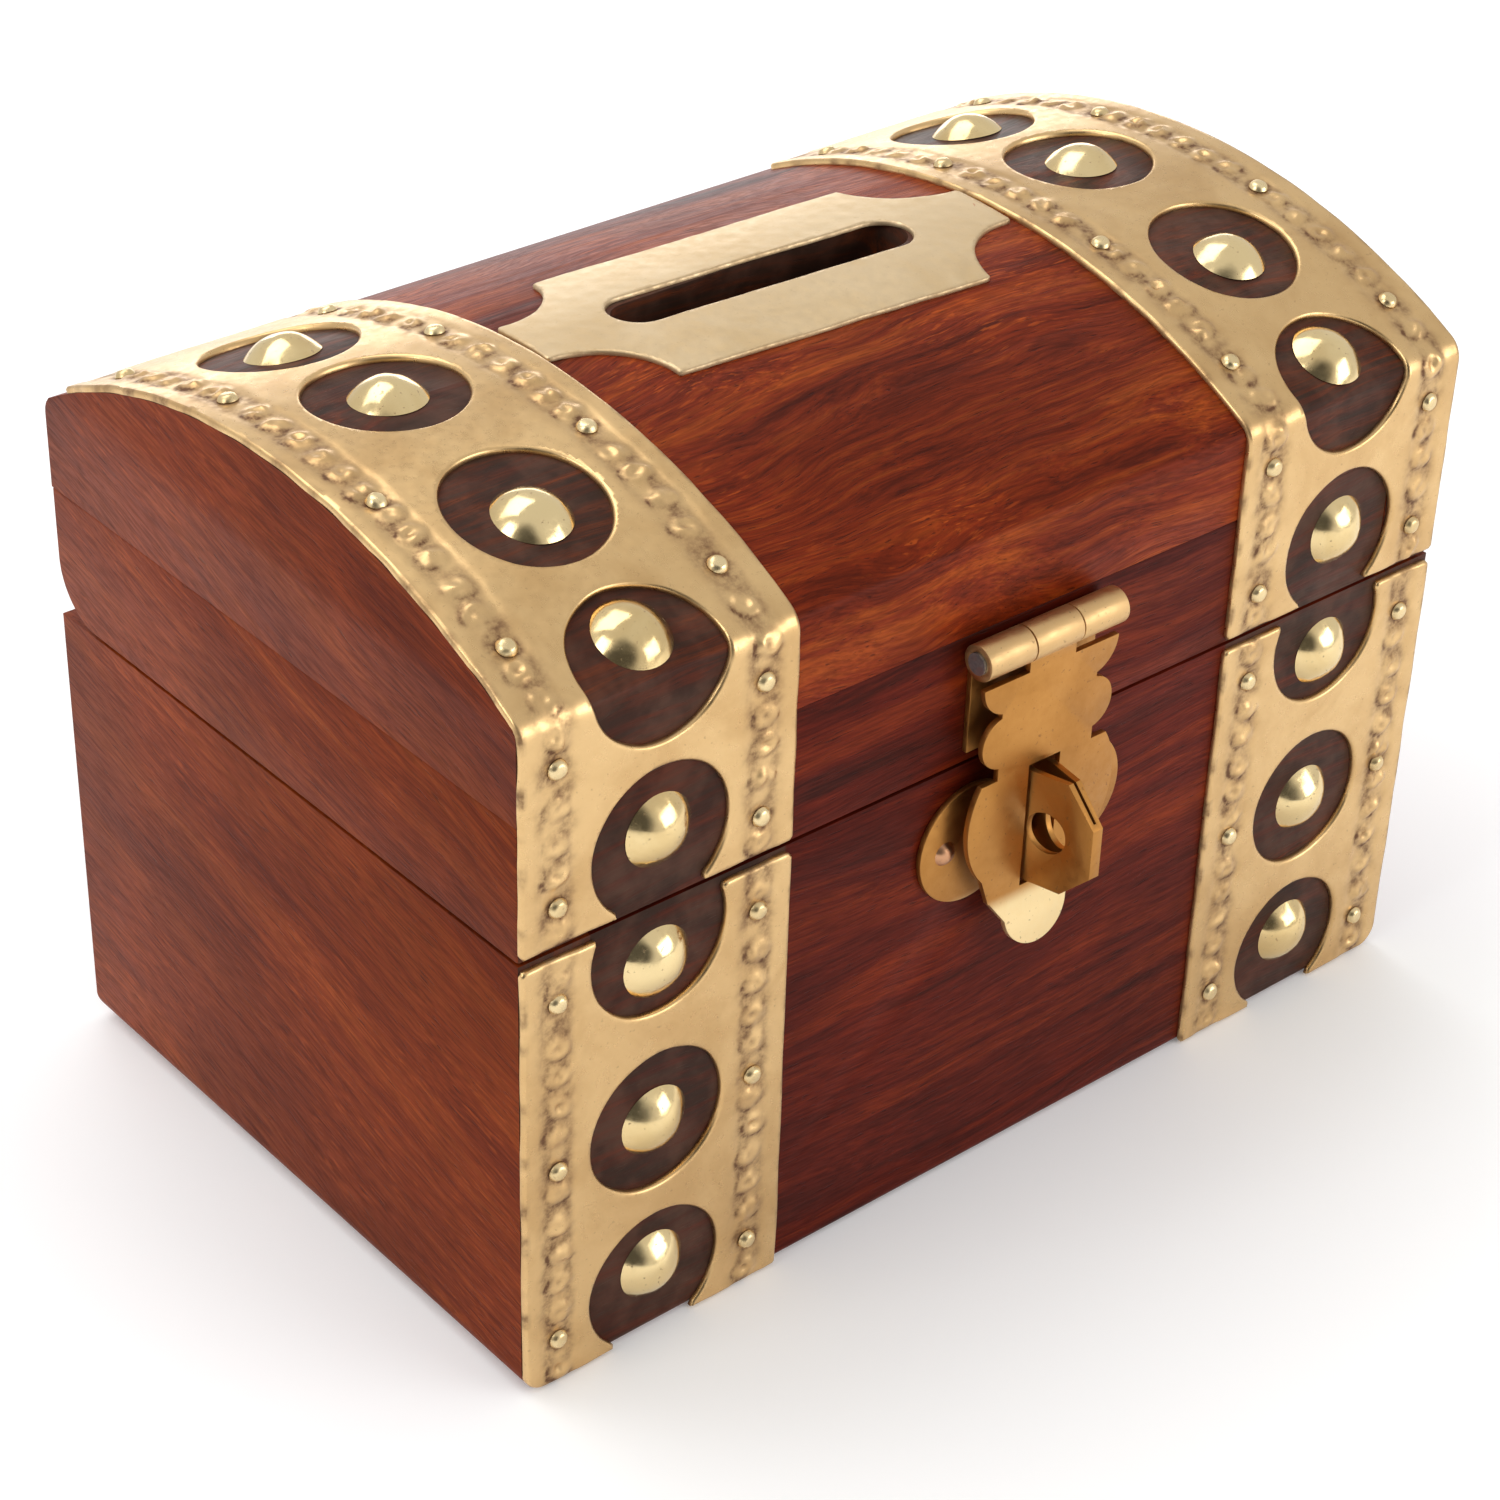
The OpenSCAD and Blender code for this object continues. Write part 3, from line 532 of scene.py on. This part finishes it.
def wood(name, dark, middle, light, along, shift=(0, 0, 0), swirl=0.6, flecks=0.5, front_painted_light=1.0):
    """Oiled hardwood whose fibres run along the given direction, with the figure of a sawn board.

    Its front faces have fewer flecks, and are painted lighter or darker by a given factor, as painted
    light.
    """
    s = Shader(name)
    base = s.turned(s.millimetres, along, shift)
    drift = s.noise(s.mapped(base, (0.013, 0.035, 0.035)), 1, 2, 0.5, colour=True)
    ripple = s.noise(s.mapped(base, (0.06, 0.14, 0.14)), 1, 2, 0.5, colour=True)
    grain = s.pushed(s.pushed(base, drift, 30 * swirl), ripple, 3 * swirl)
    bands = s.noise(s.mapped(grain, (0.010, 0.13, 0.13)), 1, 4, 0.6, 0.4)
    streaks = s.noise(s.mapped(grain, (0.03, 0.75, 0.75)), 1, 4, 0.62, 0.2)
    fibres = s.noise(s.mapped(grain, (0.22, 3.4, 3.4)), 1, 3, 0.6)
    dashes = s.noise(s.mapped(grain, (0.34, 3.6, 3.6), shift=(9, 4, 2)), 1, 2, 0.5)
    sparks = s.noise(s.mapped(grain, (0.26, 2.6, 2.6), shift=(3, 14, 8)), 1, 2, 0.5)
    patches = s.noise(base, 0.035, 2, 0.5)
    tone = s.sums("ADD", s.sums("MULTIPLY", bands, 0.55), s.sums("MULTIPLY", streaks, 0.45))
    colour = s.ramp(tone, [(0.34, dark), (0.5, middle), (0.66, light)])
    colour = s.scaled(colour, s.step(fibres, 0.3, 0.7, 0.72, 1.2))
    colour = s.scaled(colour, s.step(patches, 0.3, 0.7, 0.82, 1.12))
    facing = facing_front(s)
    plain = s.step(facing, 0.6, 0.9, flecks, 0.3 * flecks)
    bright = s.sums("MULTIPLY", s.step(patches, 0.4, 0.6), plain)
    glint = s.sums("MULTIPLY", s.step(sparks, 0.56, 0.70), bright)
    colour = s.mix(glint, colour, rgb(*(1.9 * c for c in light)))
    pore = s.step(dashes, 0.63, 0.72)
    colour = s.mix(s.sums("MULTIPLY", pore, 0.6), colour, rgb(*(0.45 * c for c in dark)))
    # the stain under the straps, and painted shade on the walls of the coin slot
    share = s.sums("MAXIMUM", stained_share(s), slot_shade_share(s))
    blotch = s.noise(s.millimetres, 0.16, 3, 0.6)
    stain_and_slot_shade = s.mix(s.step(blotch, 0.35, 0.7), DARK_STAIN_AND_SHADE, THIN_STAIN_AND_SHADE)
    stain_and_slot_shade = s.mix(s.step(streaks, 0.35, 0.75, 0.0, 0.4), stain_and_slot_shade, colour)
    # painted light: faces that face the front are made lighter or darker by a factor
    colour = s.scaled(colour, s.step(facing, 0.6, 0.9, 1, front_painted_light))
    colour = s.mix(share, colour, stain_and_slot_shade)
    height = s.sums("ADD", s.sums("MULTIPLY", fibres, 0.6), s.sums("MULTIPLY", pore, -0.5))
    return s.finish(
        Base_Color=colour, Roughness=s.step(fibres, 0.3, 0.7, 0.50, 0.38), Specular_IOR_Level=0.08,
        Normal=s.bump(height, 0.04),
    )


def facing_front(s):
    """1 on surfaces that face the front, 0 on those at right angles to it."""
    return s.sums("MULTIPLY", s.normal()[1], -1.0)


def stained_share(s):
    """1 where the wood under the straps was stained dark: the outside of the front and the top."""
    x, y, z = s.split(s.millimetres)
    out_x, out_y, out_z = s.normal()
    band = s.step(s.sums("ABSOLUTE", x), STRAP_LOW[0] + 0.3, STRAP_LOW[0] + 0.9)
    band = s.sums("MULTIPLY", band, s.step(s.sums("ABSOLUTE", out_x), 0.5, 0.3))
    on_face = s.step(y, 2 - HALF_D, 1 - HALF_D)
    front = s.sums("MULTIPLY", s.step(out_y, -0.5, -0.7), on_face)
    on_crown = s.step(z, CORNER_Z - 4, CORNER_Z - 3)
    top = s.sums("MULTIPLY", s.step(out_z, 0.5, 0.7), on_crown)
    before_end = s.step(y, LID_STRAP_HIGH[1], LID_STRAP_HIGH[1] - 0.6)
    return s.sums("MULTIPLY", s.sums("MULTIPLY", band, s.sums("MAXIMUM", front, top)), before_end)


def slot_shade_share(s):
    """1 on the walls of the coin slot, which are painted dark as shade."""
    x, y, _ = s.split(s.millimetres)
    from_middle = s.sums("ABSOLUTE", s.sums("SUBTRACT", y, PLATE_Y))
    in_length = s.step(s.sums("ABSOLUTE", x), SLOT_END + 1.25, SLOT_END + 0.25)
    in_width = s.step(from_middle, SLOT_HALF[1] + 1.5, SLOT_HALF[1] + 1)
    return s.sums("MULTIPLY", in_length, in_width)


# colour of the painted highlight on the hasp
HIGHLIGHT_BRASS = rgb(0.90, 0.70, 0.38)
# brown of the patina, also used for painted shadow beside the straps' marks
PATINA_AND_SHADOW_BROWN = rgb(0.150, 0.065, 0.026)


def brass(
    name, clean, worn, rough=0.34, patina_and_shadow=False, pits=0.5, scratches=0.3, grime=0.25,
    dull_from=None, dull_to=None,
):
    """Brushed brass with scratches, pits, brown patina and the painted shadow that its point layer may
    hold.

    If a range of heights is given, the brass is painted bright below it and above it, as a painted
    highlight.
    """
    s = Shader(name)
    cloud = s.noise(s.millimetres, 0.09, 4, 0.6, 0.4)
    fleck = s.noise(s.millimetres, 0.8, 3, 0.65)
    colour = s.mix(s.step(cloud, 0.32, 0.72), clean, worn)
    if dull_from is not None:
        height = s.split(s.millimetres)[2]
        # painted highlight: bright brass below the lower height and, less, above the upper one
        painted_highlight = s.step(height, dull_from + 0.8, dull_from - 1.6)
        painted_highlight = s.sums("ADD", painted_highlight, s.step(height, dull_to, dull_to + 1, 0, 0.45))
        colour = s.mix(painted_highlight, colour, HIGHLIGHT_BRASS)
    specks = s.step(s.noise(s.millimetres, 1.7, 2, 0.5), 0.66, 0.74)
    rubbed = s.noise(s.mapped(s.millimetres, (0.5, 5, 0.5), turn=(20, 35, 10)), 1, 2, 0.6)
    crossed = s.noise(s.mapped(s.millimetres, (4, 0.35, 4), turn=(10, 5, 50)), 1, 2, 0.6)
    share = s.sums("MULTIPLY", specks, grime)
    if patina_and_shadow:
        layer = s.node("ShaderNodeAttribute", attribute_name="patina_and_shadow")
        uneven = s.step(fleck, 0.25, 0.75, 0.35, 1.3)
        share = s.sums("MAXIMUM", share, s.sums("MULTIPLY", layer.outputs["Fac"], uneven, clamp=True))
    colour = s.mix(share, colour, PATINA_AND_SHADOW_BROWN)
    crossing = s.sums("MULTIPLY", crossed, scratches * 0.7)
    lines = s.sums("ADD", s.sums("MULTIPLY", rubbed, scratches), crossing)
    relief = s.sums("ADD", lines, s.sums("MULTIPLY", fleck, pits))
    roughness = s.step(fleck, 0.3, 0.7, rough - 0.05, rough + 0.07)
    roughness = s.sums("ADD", roughness, s.sums("MULTIPLY", share, 0.25))
    metal = s.sums("SUBTRACT", 1.0, s.sums("MULTIPLY", share, 0.45))
    return s.finish(Base_Color=colour, Metallic=metal, Roughness=roughness, Normal=s.bump(relief, 0.03))


def steel(name, tone, rough):
    """Dull plated steel of the given tone."""
    s = Shader(name)
    fleck = s.noise(s.millimetres, 0.9, 3, 0.6)
    dark = tuple(0.55 * c for c in tone)
    colour = s.mix(s.step(fleck, 0.35, 0.7), (*tone, 1), (*dark, 1))
    return s.finish(
        Base_Color=colour, Metallic=0.9, Roughness=s.step(fleck, 0.3, 0.7, rough, rough + 0.2),
        Normal=s.bump(fleck, 0.03),
    )


# ---------- straps ----------

# the two hammered rows of a strap: the pitch of their marks, their distance from the strap's sides,
# half the width and the depth of their groove, a mark's half sizes and height, and the depth at a pin
ROW_PITCH = 4.4
ROW_IN = 5.0
GROOVE_HALF = 2.35
GROOVE_DEPTH = 0.13
MARK_ACROSS = 1.75
MARK_ALONG = 1.4
MARK_HEIGHT = 0.46
PIN_SEAT = 0.16
STRAP_CHAMFER = 0.28


def spacing(low, high, row_centres):
    """Grid lines across a strap, closer together along its two hammered rows."""
    lines = [low]
    while lines[-1] < high - 0.3:
        near = min(abs(lines[-1] - c) for c in row_centres) < 3
        lines.append(lines[-1] + (0.31 if near else 0.5))
    lines[-1] = high
    return np.array(lines)


# an oval mark: its middle, its height as a share of MARK_HEIGHT, its tilt and the depth of its dimple
Mark = collections.namedtuple("Mark", "u v size tilt dimple")


def row_marks(rows, v_low, v_high, pins, seed):
    """The oval marks of a strap's rows, uneven in place and size, and away from its pins."""
    rng = np.random.default_rng(seed)
    marks = []
    for row in rows:
        v = v_low + ROW_PITCH / 2 + rng.uniform(-0.6, 0.6)
        while v < v_high - 1.6:
            if min(math.hypot(row - pu, v - pv) for pu, pv in pins) > 2.1:
                middle = row + rng.normal(0, 0.22)
                size = rng.uniform(0.6, 1.1)
                tilt = rng.normal(0, 0.3)
                marks.append(Mark(middle, v, size, tilt, rng.uniform(0.05, 0.38)))
            v += ROW_PITCH * rng.uniform(0.84, 1.12)
    return marks


def hammered(rows, v_low, v_high, pins, seed):
    """Relief, and patina with painted shadow, of a strap, as two functions of (u, v): each row is a groove
    with oval marks.
    """
    marks = row_marks(rows, v_low, v_high, pins, seed)

    def from_mark(u, v, mark):
        """Distance from the middle of an oval mark, 1 at its edge."""
        across = (u - mark.u) * math.cos(mark.tilt) + (v - mark.v) * math.sin(mark.tilt)
        along = (v - mark.v) * math.cos(mark.tilt) - (u - mark.u) * math.sin(mark.tilt)
        return np.hypot(across / MARK_ACROSS, along / MARK_ALONG)

    def in_dimple(u, v, mark, spread):
        """1 in the small dimple beside the middle of a mark, fading to 0 around it."""
        return np.exp(-((u - mark.u + 0.25) ** 2 + (v - mark.v - 0.2) ** 2) / spread)

    def lift(u, v):
        height = 0.02 * wobble(u, v, 14, seed + 1) + 0.005 * wobble(u, v, 3.4, seed + 2)
        for row in rows:
            band = np.abs(u - row - 0.15 * wobble(v, 0, 9, seed + 3))
            height -= GROOVE_DEPTH / (1 + np.exp((band - GROOVE_HALF) / 0.2))
        worn = np.clip(1 + 0.3 * wobble(u, v, 2.4, seed + 6), 0.2, 1.6)
        for mark in marks:
            height += worn * mark.size * MARK_HEIGHT * np.exp(-(from_mark(u, v, mark) ** 4))
            height -= mark.dimple * in_dimple(u, v, mark, 0.36)
        for pu, pv in pins:
            height -= PIN_SEAT * np.exp(-((np.hypot(u - pu, v - pv) / 1.9) ** 4))
        return height

    def patina_and_shadow(u, v):
        uneven = np.clip(0.65 + 0.35 * wobble(u, v, 3.6, seed + 4), 0.15, 1)
        dark = np.zeros_like(u)
        for row in rows:
            band = np.abs(u - row + 0.3)
            dark = np.maximum(dark, 0.75 * uneven / (1 + np.exp((band - 2.3) / 0.4)))
        for mark in marks:
            away = from_mark(u, v, mark)
            dark *= 1 - 0.9 * np.exp(-((away / 0.9) ** 4))
            # painted shadow: a dark crescent round each mark on its lower, left side, as if the mark cast
            # shade
            below = np.clip(0.6 - 0.5 * (u - mark.u) / 1.7 - 0.5 * (v - mark.v) / 1.3, 0, 1)
            dark = np.maximum(dark, 1.3 * uneven * below * np.exp(-(((away - 1.2) / 0.25) ** 2)))
            dark = np.maximum(dark, 1.6 * mark.dimple * in_dimple(u, v, mark, 0.25))
        for pu, pv in pins:
            away = np.hypot(u - pu, v - pv)
            dark = np.maximum(dark, 0.9 * np.exp(-(((away - 1.4) / 0.6) ** 2)))
        return np.clip(dark, 0, 1)

    return lift, patina_and_shadow


def circle_edge(u, v, cu, cv, radius):
    """Distance outside a circle."""
    return np.hypot(u - cu, v - cv) - radius


def strap(name, node, body, place, u_span, v_span, holes, pins, seed, material):
    """A hammered strap with its punched holes, standing for a CAD strap.

    On the box it is rounded at its lower outer corner, as the wood is.
    """
    u_low, u_high = u_span
    v_low, v_high = v_span
    rows = (u_low + ROW_IN, u_high - ROW_IN)
    rounded = BOTTOM_R if place is on_front else 0
    outer = -1 if u_low < 0 else 1
    lift, patina_and_shadow = hammered(rows, v_low, v_high, pins, seed)

    def edge(u, v):
        """Distance inside the strap's uneven outline."""
        ragged = 0.05 * wobble(u, v, 9, seed + 5)
        inside = np.minimum(np.minimum(u - u_low, u_high - u), np.minimum(v - v_low, v_high - v))
        inside = inside - 0.05 + np.minimum(ragged, 0.04)
        to_end = np.clip(rounded - (HALF_W - outer * u), 0, None)
        to_floor = np.clip(rounded - v, 0, None)
        in_corner = (to_end > 0) & (to_floor > 0) & (rounded > 0)
        inside = np.where(in_corner, np.minimum(inside, rounded - np.hypot(to_end, to_floor)), inside)
        for cu, cv in holes:
            inside = np.minimum(inside, circle_edge(u, v, cu, cv, PUNCH_R) + 0.5 * ragged)
        return inside

    us = spacing(u_low, u_high, rows)
    vs = np.linspace(v_low, v_high, int((v_high - v_low) / 0.35) + 1)
    points, faces, uv = sheet(us, vs, edge, lift, place, STRAP_T, STRAP_CHAMFER)
    piece = new_piece(name, points, faces, node, body, material)
    u, v = uv[:, 0], uv[:, 1]
    sides = np.minimum(u - u_low, u_high - u)
    tarnish = np.exp(-((sides / 0.5) ** 2)) * np.clip(0.7 * wobble(u, v, 5, seed + 7), 0, 0.9)
    paint(piece, "patina_and_shadow", np.maximum(patina_and_shadow(u, v), tarnish))


def build_straps(material):
    """The four straps, each with the pins of the CAD strap that it stands for."""
    outside = 0.01
    lid_pins = [(p[0], lid_v(p + outside * out)) for p, out in nail_places("lid_strap_pins")]
    box_pins = [(p[0], p[2]) for p, _ in nail_places("box_strap_pins")]
    lid_span = (LID_STRAP_LOW[2] - SEAM_Z, CROWN_V + LID_STRAP_END_S)
    lid_holes_v = [CROWN_V + s for s in LID_PUNCH_S] + [LID_PUNCH_Z - SEAM_Z]
    for side, word, seed in ((-1, "left", 20), (1, "right", 60)):
        lid_node, box_node = "lid_strap_" + word, "box_strap_" + word
        low, high = box_mm(box_node)
        width_span = (low[0], high[0])
        own_pins = [p for p in lid_pins if low[0] < p[0] < high[0]]
        strap(
            lid_node + "_hammered", lid_node, "lid", on_lid, width_span, lid_span,
            [(side * PUNCH_X, v) for v in lid_holes_v], own_pins, seed, material,
        )
        own_pins = [p for p in box_pins if low[0] < p[0] < high[0]]
        strap(
            box_node + "_hammered", box_node, "box", on_front, width_span, (low[2], high[2]),
            [(side * PUNCH_X, z) for z in BOX_PUNCH_Z], own_pins, seed + 10, material,
        )


# ---------- slot plate ----------

# the plate was nailed on a little askew, and has a round bite at each corner
PLATE_SKEW = math.radians(-3)
PLATE_T = 0.6
PLATE_CHAMFER = 0.15
BITE_R = 11
BITE_AT = (34.7, 16.3)


def build_slot_plate(material):
    """The brass plate round the coin slot, bent over the top of the lid."""
    half_u = (PLATE_HIGH[0] - PLATE_LOW[0]) / 2 + 0.2
    half_v = (PLATE_HIGH[1] - PLATE_LOW[1]) / 2

    def edge(u, v):
        """Distance inside the plate's uneven outline."""
        w = v - PLATE_Y
        across = u * math.cos(PLATE_SKEW) + w * math.sin(PLATE_SKEW)
        along = w * math.cos(PLATE_SKEW) - u * math.sin(PLATE_SKEW)
        ragged = 0.07 * wobble(u, v, 11, 5)
        inside = np.minimum(half_u - np.abs(across), half_v - np.abs(along)) + np.minimum(ragged, 0)
        for i in (-1, 1):
            for j in (-1, 1):
                bite = circle_edge(across, along, i * BITE_AT[0], j * BITE_AT[1], BITE_R)
                inside = np.minimum(inside, bite + ragged)
        slot = np.hypot(np.maximum(np.abs(across) - SLOT_HALF[0], 0), along) - SLOT_HALF[1]
        return np.minimum(inside, slot + 0.4 * ragged)

    def lift(u, v):
        return 0.03 * wobble(u, v, 15, 6) + 0.008 * wobble(u, v, 2.5, 7)

    def place(u, v, height):
        back = np.arcsin(v / ARC_R)
        return np.stack([u, (ARC_R + height) * np.sin(back), ARC_Z + (ARC_R + height) * np.cos(back)], -1)

    margin, grid = 1.5, 0.45
    us = np.arange(-half_u - margin, half_u + margin, grid)
    vs = np.arange(PLATE_Y - half_v - 2 * margin, PLATE_Y + half_v + 2 * margin, grid)
    points, faces, uv = sheet(us, vs, edge, lift, place, PLATE_T, PLATE_CHAMFER)
    piece = new_piece("slot_plate_cut", points, faces, "slot_plate", "lid", material)
    rim = edge(uv[:, 0], uv[:, 1])
    paint(piece, "patina_and_shadow", 0.4 * np.exp(-((rim / 0.25) ** 2)))


# ---------- wood, nails and fittings ----------

def build_wood():
    """The panels and rails, with the top panel's ends in the wood of the lid's ends."""
    dull = ((0.038, 0.004, 0.001), (0.100, 0.008, 0.002), (0.195, 0.024, 0.003))
    top_tones = ((0.048, 0.005, 0.001), (0.165, 0.018, 0.003), (0.300, 0.055, 0.006))
    end_tones = ((0.110, 0.014, 0.003), (0.180, 0.027, 0.004), (0.250, 0.048, 0.007))
    front = wood("front_wood", *dull, (1, 0, 0), swirl=0.35, flecks=0.25)
    rail = wood("rail_wood", *dull, (1, 0, 0.03), (40, 7, 31), swirl=0.3, flecks=0.2)
    # the top panel's front faces are painted 1.15 times lighter, as painted light
    top = wood("top_wood", *top_tones, (1, 0, 0), (15, 60, 5), swirl=0.75, flecks=0.4, front_painted_light=1.15)
    left = wood("left_end_wood", *end_tones, (0, -1, -0.25), (0, 3, 9), swirl=0.3, flecks=0.3)
    right = wood("right_end_wood", *end_tones, (0, -1, 0.3), (5, 23, 40), swirl=0.3, flecks=0.3)
    base = wood("base_wood", *dull, (1, 0, 0), (0, 50, 70), swirl=0.5)
    panels = {
        "box_front_panel": front, "box_back_panel": front, "box_left_panel": left, "box_right_panel": right,
        "box_base_panel": base, "lid_front_rail": rail, "lid_back_rail": rail, "lid_left_rail": left,
        "lid_right_rail": right, "lid_top_panel": top,
    }
    for node, material in panels.items():
        piece = eased(node, 0.35, material)
        if node == "lid_top_panel":
            piece.data.materials.append(left)
            piece.data.materials.append(right)
            for face in piece.data.polygons:
                if abs(face.normal.x) > 0.7:
                    face.material_index = 1 if face.normal.x < 0 else 2


def build_nails():
    """The domed nails in the holes, and the small pins along the straps."""
    shiny = brass(
        "nail_brass", rgb(0.82, 0.64, 0.34), rgb(0.70, 0.51, 0.24), rough=0.16, pits=0.12, scratches=0.06,
        grime=0.5,
    )
    pinned = brass(
        "pin_brass", rgb(0.84, 0.67, 0.38), rgb(0.68, 0.50, 0.25), rough=0.3, pits=0.3, scratches=0.1,
    )
    dome = cap_profile(radius=4.75, height=2.5, shank_r=0.8, shank_l=9, rings=16, squareness=2.1)
    pin = cap_profile(
        radius=1.3, height=0.75, shank_r=0.5, shank_l=7, flat_top=0.5, rings=7, squareness=4,
    )
    for body in ("lid", "box"):
        nail_heads(
            body + "_dome_nails_turned", body + "_dome_nails", dome, body, shiny, lift=0,
            dent=0.025, seed=3,
        )
        nail_heads(
            body + "_strap_pins_turned", body + "_strap_pins", pin, body, pinned,
            lift=STRAP_T - PIN_SEAT, dent=0.05, segments=20, seed=4,
        )


# painted highlight: the hasp is painted bright below its bend and, less, on its knuckles
HASP_BEND_Z = 43.5
HASP_KNUCKLE_Z = box_mm("hasp_hinge_pin")[0][2] - 1


def build_fittings():
    """The hasp, the staple, the hinges, and the looks of the small parts whose CAD mesh is kept."""
    antique = brass(
        "antique_brass", rgb(0.51, 0.245, 0.065), rgb(0.42, 0.19, 0.045), rough=0.45, pits=0.5, grime=0.4,
        dull_from=HASP_BEND_Z, dull_to=HASP_KNUCKLE_Z,
    )
    antique_nail = brass("hasp_nail_brass", rgb(0.60, 0.36, 0.12), rgb(0.42, 0.22, 0.07), rough=0.4)
    hinge = brass("hinge_brass", rgb(0.58, 0.38, 0.16), rgb(0.42, 0.25, 0.10), rough=0.38)
    copper = brass("rivet_copper", rgb(0.62, 0.33, 0.18), rgb(0.45, 0.22, 0.11), rough=0.35)
    plated = steel("plated_steel", (0.42, 0.42, 0.43), 0.35)
    for node in ("hasp_leaf", "hasp_plate", "staple_plate", "staple"):
        eased(node, 0.12, antique, shortest=0.15)
    for side in ("left", "right"):
        for body in ("box", "lid"):
            eased("hinge_" + side + "_" + body + "_leaf", 0.1, hinge, shortest=0.3)
    looks = {
        "hasp_leaf_nails": antique_nail, "staple_plate_rivets": copper, "hasp_hinge_pin": plated,
        "hinge_left_pin": plated, "hinge_right_pin": plated, "hinge_box_screws": plated,
        "hinge_lid_screws": plated, "box_base_brads": plated, "slot_plate_pins": copper,
    }
    for node, material in looks.items():
        slots = frame["nodes"][node].data.materials
        slots.clear()
        slots.append(material)


# ---------- floor, light and camera ----------

def build_stage():
    """A white floor that glows a little, so that the box's shadow on it stays light."""
    bpy.ops.mesh.primitive_plane_add(size=6, location=(0, 0, -0.0002))
    floor = bpy.context.object
    floor.name = "floor"
    s = Shader("floor_white")
    paper = s.finish(
        Base_Color=rgb(0.93, 0.93, 0.93), Roughness=0.9,
        Emission_Color=rgb(1, 1, 1), Emission_Strength=0.14,
    )
    floor.data.materials.append(paper)


def area(name, at, aim, size, power):
    """A rectangular lamp in metres and watts that shines from one place toward another."""
    data = bpy.data.lights.new(name, "AREA")
    data.shape = "RECTANGLE"
    data.size, data.size_y = size
    data.energy = power
    lamp = bpy.data.objects.new(name, data)
    lamp.location = at
    lamp.rotation_euler = (Vector(aim) - Vector(at)).to_track_quat("-Z", "Y").to_euler()
    bpy.context.scene.collection.objects.link(lamp)


# direction of the dark side of the room, behind the camera, and how bright the room is
DARK_SIDE = (-0.62, -0.70, 0.35)
DARK_BEGINS = 0.72
DARK_FULL = 0.95
ROOM_LIGHT = 0.78
DARK_LIGHT = 0.10


def build_room():
    """An even white room with one dark side."""
    world = bpy.data.worlds.new("studio")
    world.use_nodes = True
    tree = world.node_tree
    place = tree.nodes.new("ShaderNodeTexCoord")
    facing = tree.nodes.new("ShaderNodeVectorMath")
    facing.operation = "DOT_PRODUCT"
    facing.inputs[1].default_value = DARK_SIDE
    tree.links.new(place.outputs["Generated"], facing.inputs[0])
    level = tree.nodes.new("ShaderNodeMapRange")
    level.interpolation_type = "SMOOTHSTEP"
    tree.links.new(facing.outputs["Value"], level.inputs["Value"])
    level.inputs["From Min"].default_value = DARK_BEGINS
    level.inputs["From Max"].default_value = DARK_FULL
    level.inputs["To Min"].default_value = ROOM_LIGHT
    level.inputs["To Max"].default_value = DARK_LIGHT
    tree.links.new(level.outputs[0], tree.nodes["Background"].inputs["Strength"])
    tree.nodes["Background"].inputs["Color"].default_value = rgb(1, 1, 1)
    bpy.context.scene.world = world


def build_lamps():
    """Soft lamps overhead, behind the box on its right, on its left and in front on its right."""
    area("overhead", (-0.15, 0.6, 1.25), (0, 0, 0.05), (1.2, 0.9), 7)
    area("behind", (0.85, 1.2, 0.14), (0, 0, 0.08), (1.0, 0.5), 3.6)
    area("left_window", (-0.9, 0.0, 0.75), (0, 0, 0.05), (0.45, 0.45), 2.2)
    area("front_right", (0.52, -0.88, 0.36), (0, 0, 0.06), (0.7, 0.45), 3.2)


# the camera in metres and degrees: turned round the box from its front, looking down, and rolled
CAMERA_AT = (-0.26157, -0.29847, 0.29422)
CAMERA_AZIMUTH = -41.12
CAMERA_ELEVATION = 32.95
CAMERA_ROLL = 1.916
CAMERA_LENS = 85.35


def build_camera():
    azimuth, elevation = math.radians(CAMERA_AZIMUTH), math.radians(CAMERA_ELEVATION)
    level_share = math.cos(elevation)
    back = Vector((math.sin(azimuth) * level_share, -math.cos(azimuth) * level_share, math.sin(elevation)))
    level = Vector((0, 0, 1)).cross(back).normalized()
    upright = back.cross(level)
    roll = math.radians(CAMERA_ROLL)
    right = math.cos(roll) * level + math.sin(roll) * upright
    up = -math.sin(roll) * level + math.cos(roll) * upright
    data = bpy.data.cameras.new("camera")
    data.lens = CAMERA_LENS
    data.sensor_width = 36
    data.clip_start = 0.01
    camera = bpy.data.objects.new("camera", data)
    camera.matrix_world = Matrix.Translation(CAMERA_AT) @ Matrix((right, up, back)).transposed().to_4x4()
    bpy.context.scene.collection.objects.link(camera)
    bpy.context.scene.camera = camera


def main():
    straps = brass(
        "strap_brass", rgb(0.74, 0.50, 0.238), rgb(0.62, 0.395, 0.175), rough=0.31, patina_and_shadow=True, pits=0.22,
        scratches=0.16,
    )
    plate = brass(
        "plate_brass", rgb(0.73, 0.56, 0.34), rgb(0.67, 0.49, 0.27), rough=0.42, patina_and_shadow=True, pits=0.08,
        scratches=0.1, grime=0.1,
    )
    build_straps(straps)
    build_slot_plate(plate)
    build_wood()
    build_nails()
    build_fittings()
    build_stage()
    build_room()
    build_lamps()
    build_camera()
    bpy.context.scene.view_settings.view_transform = "Standard"


main()
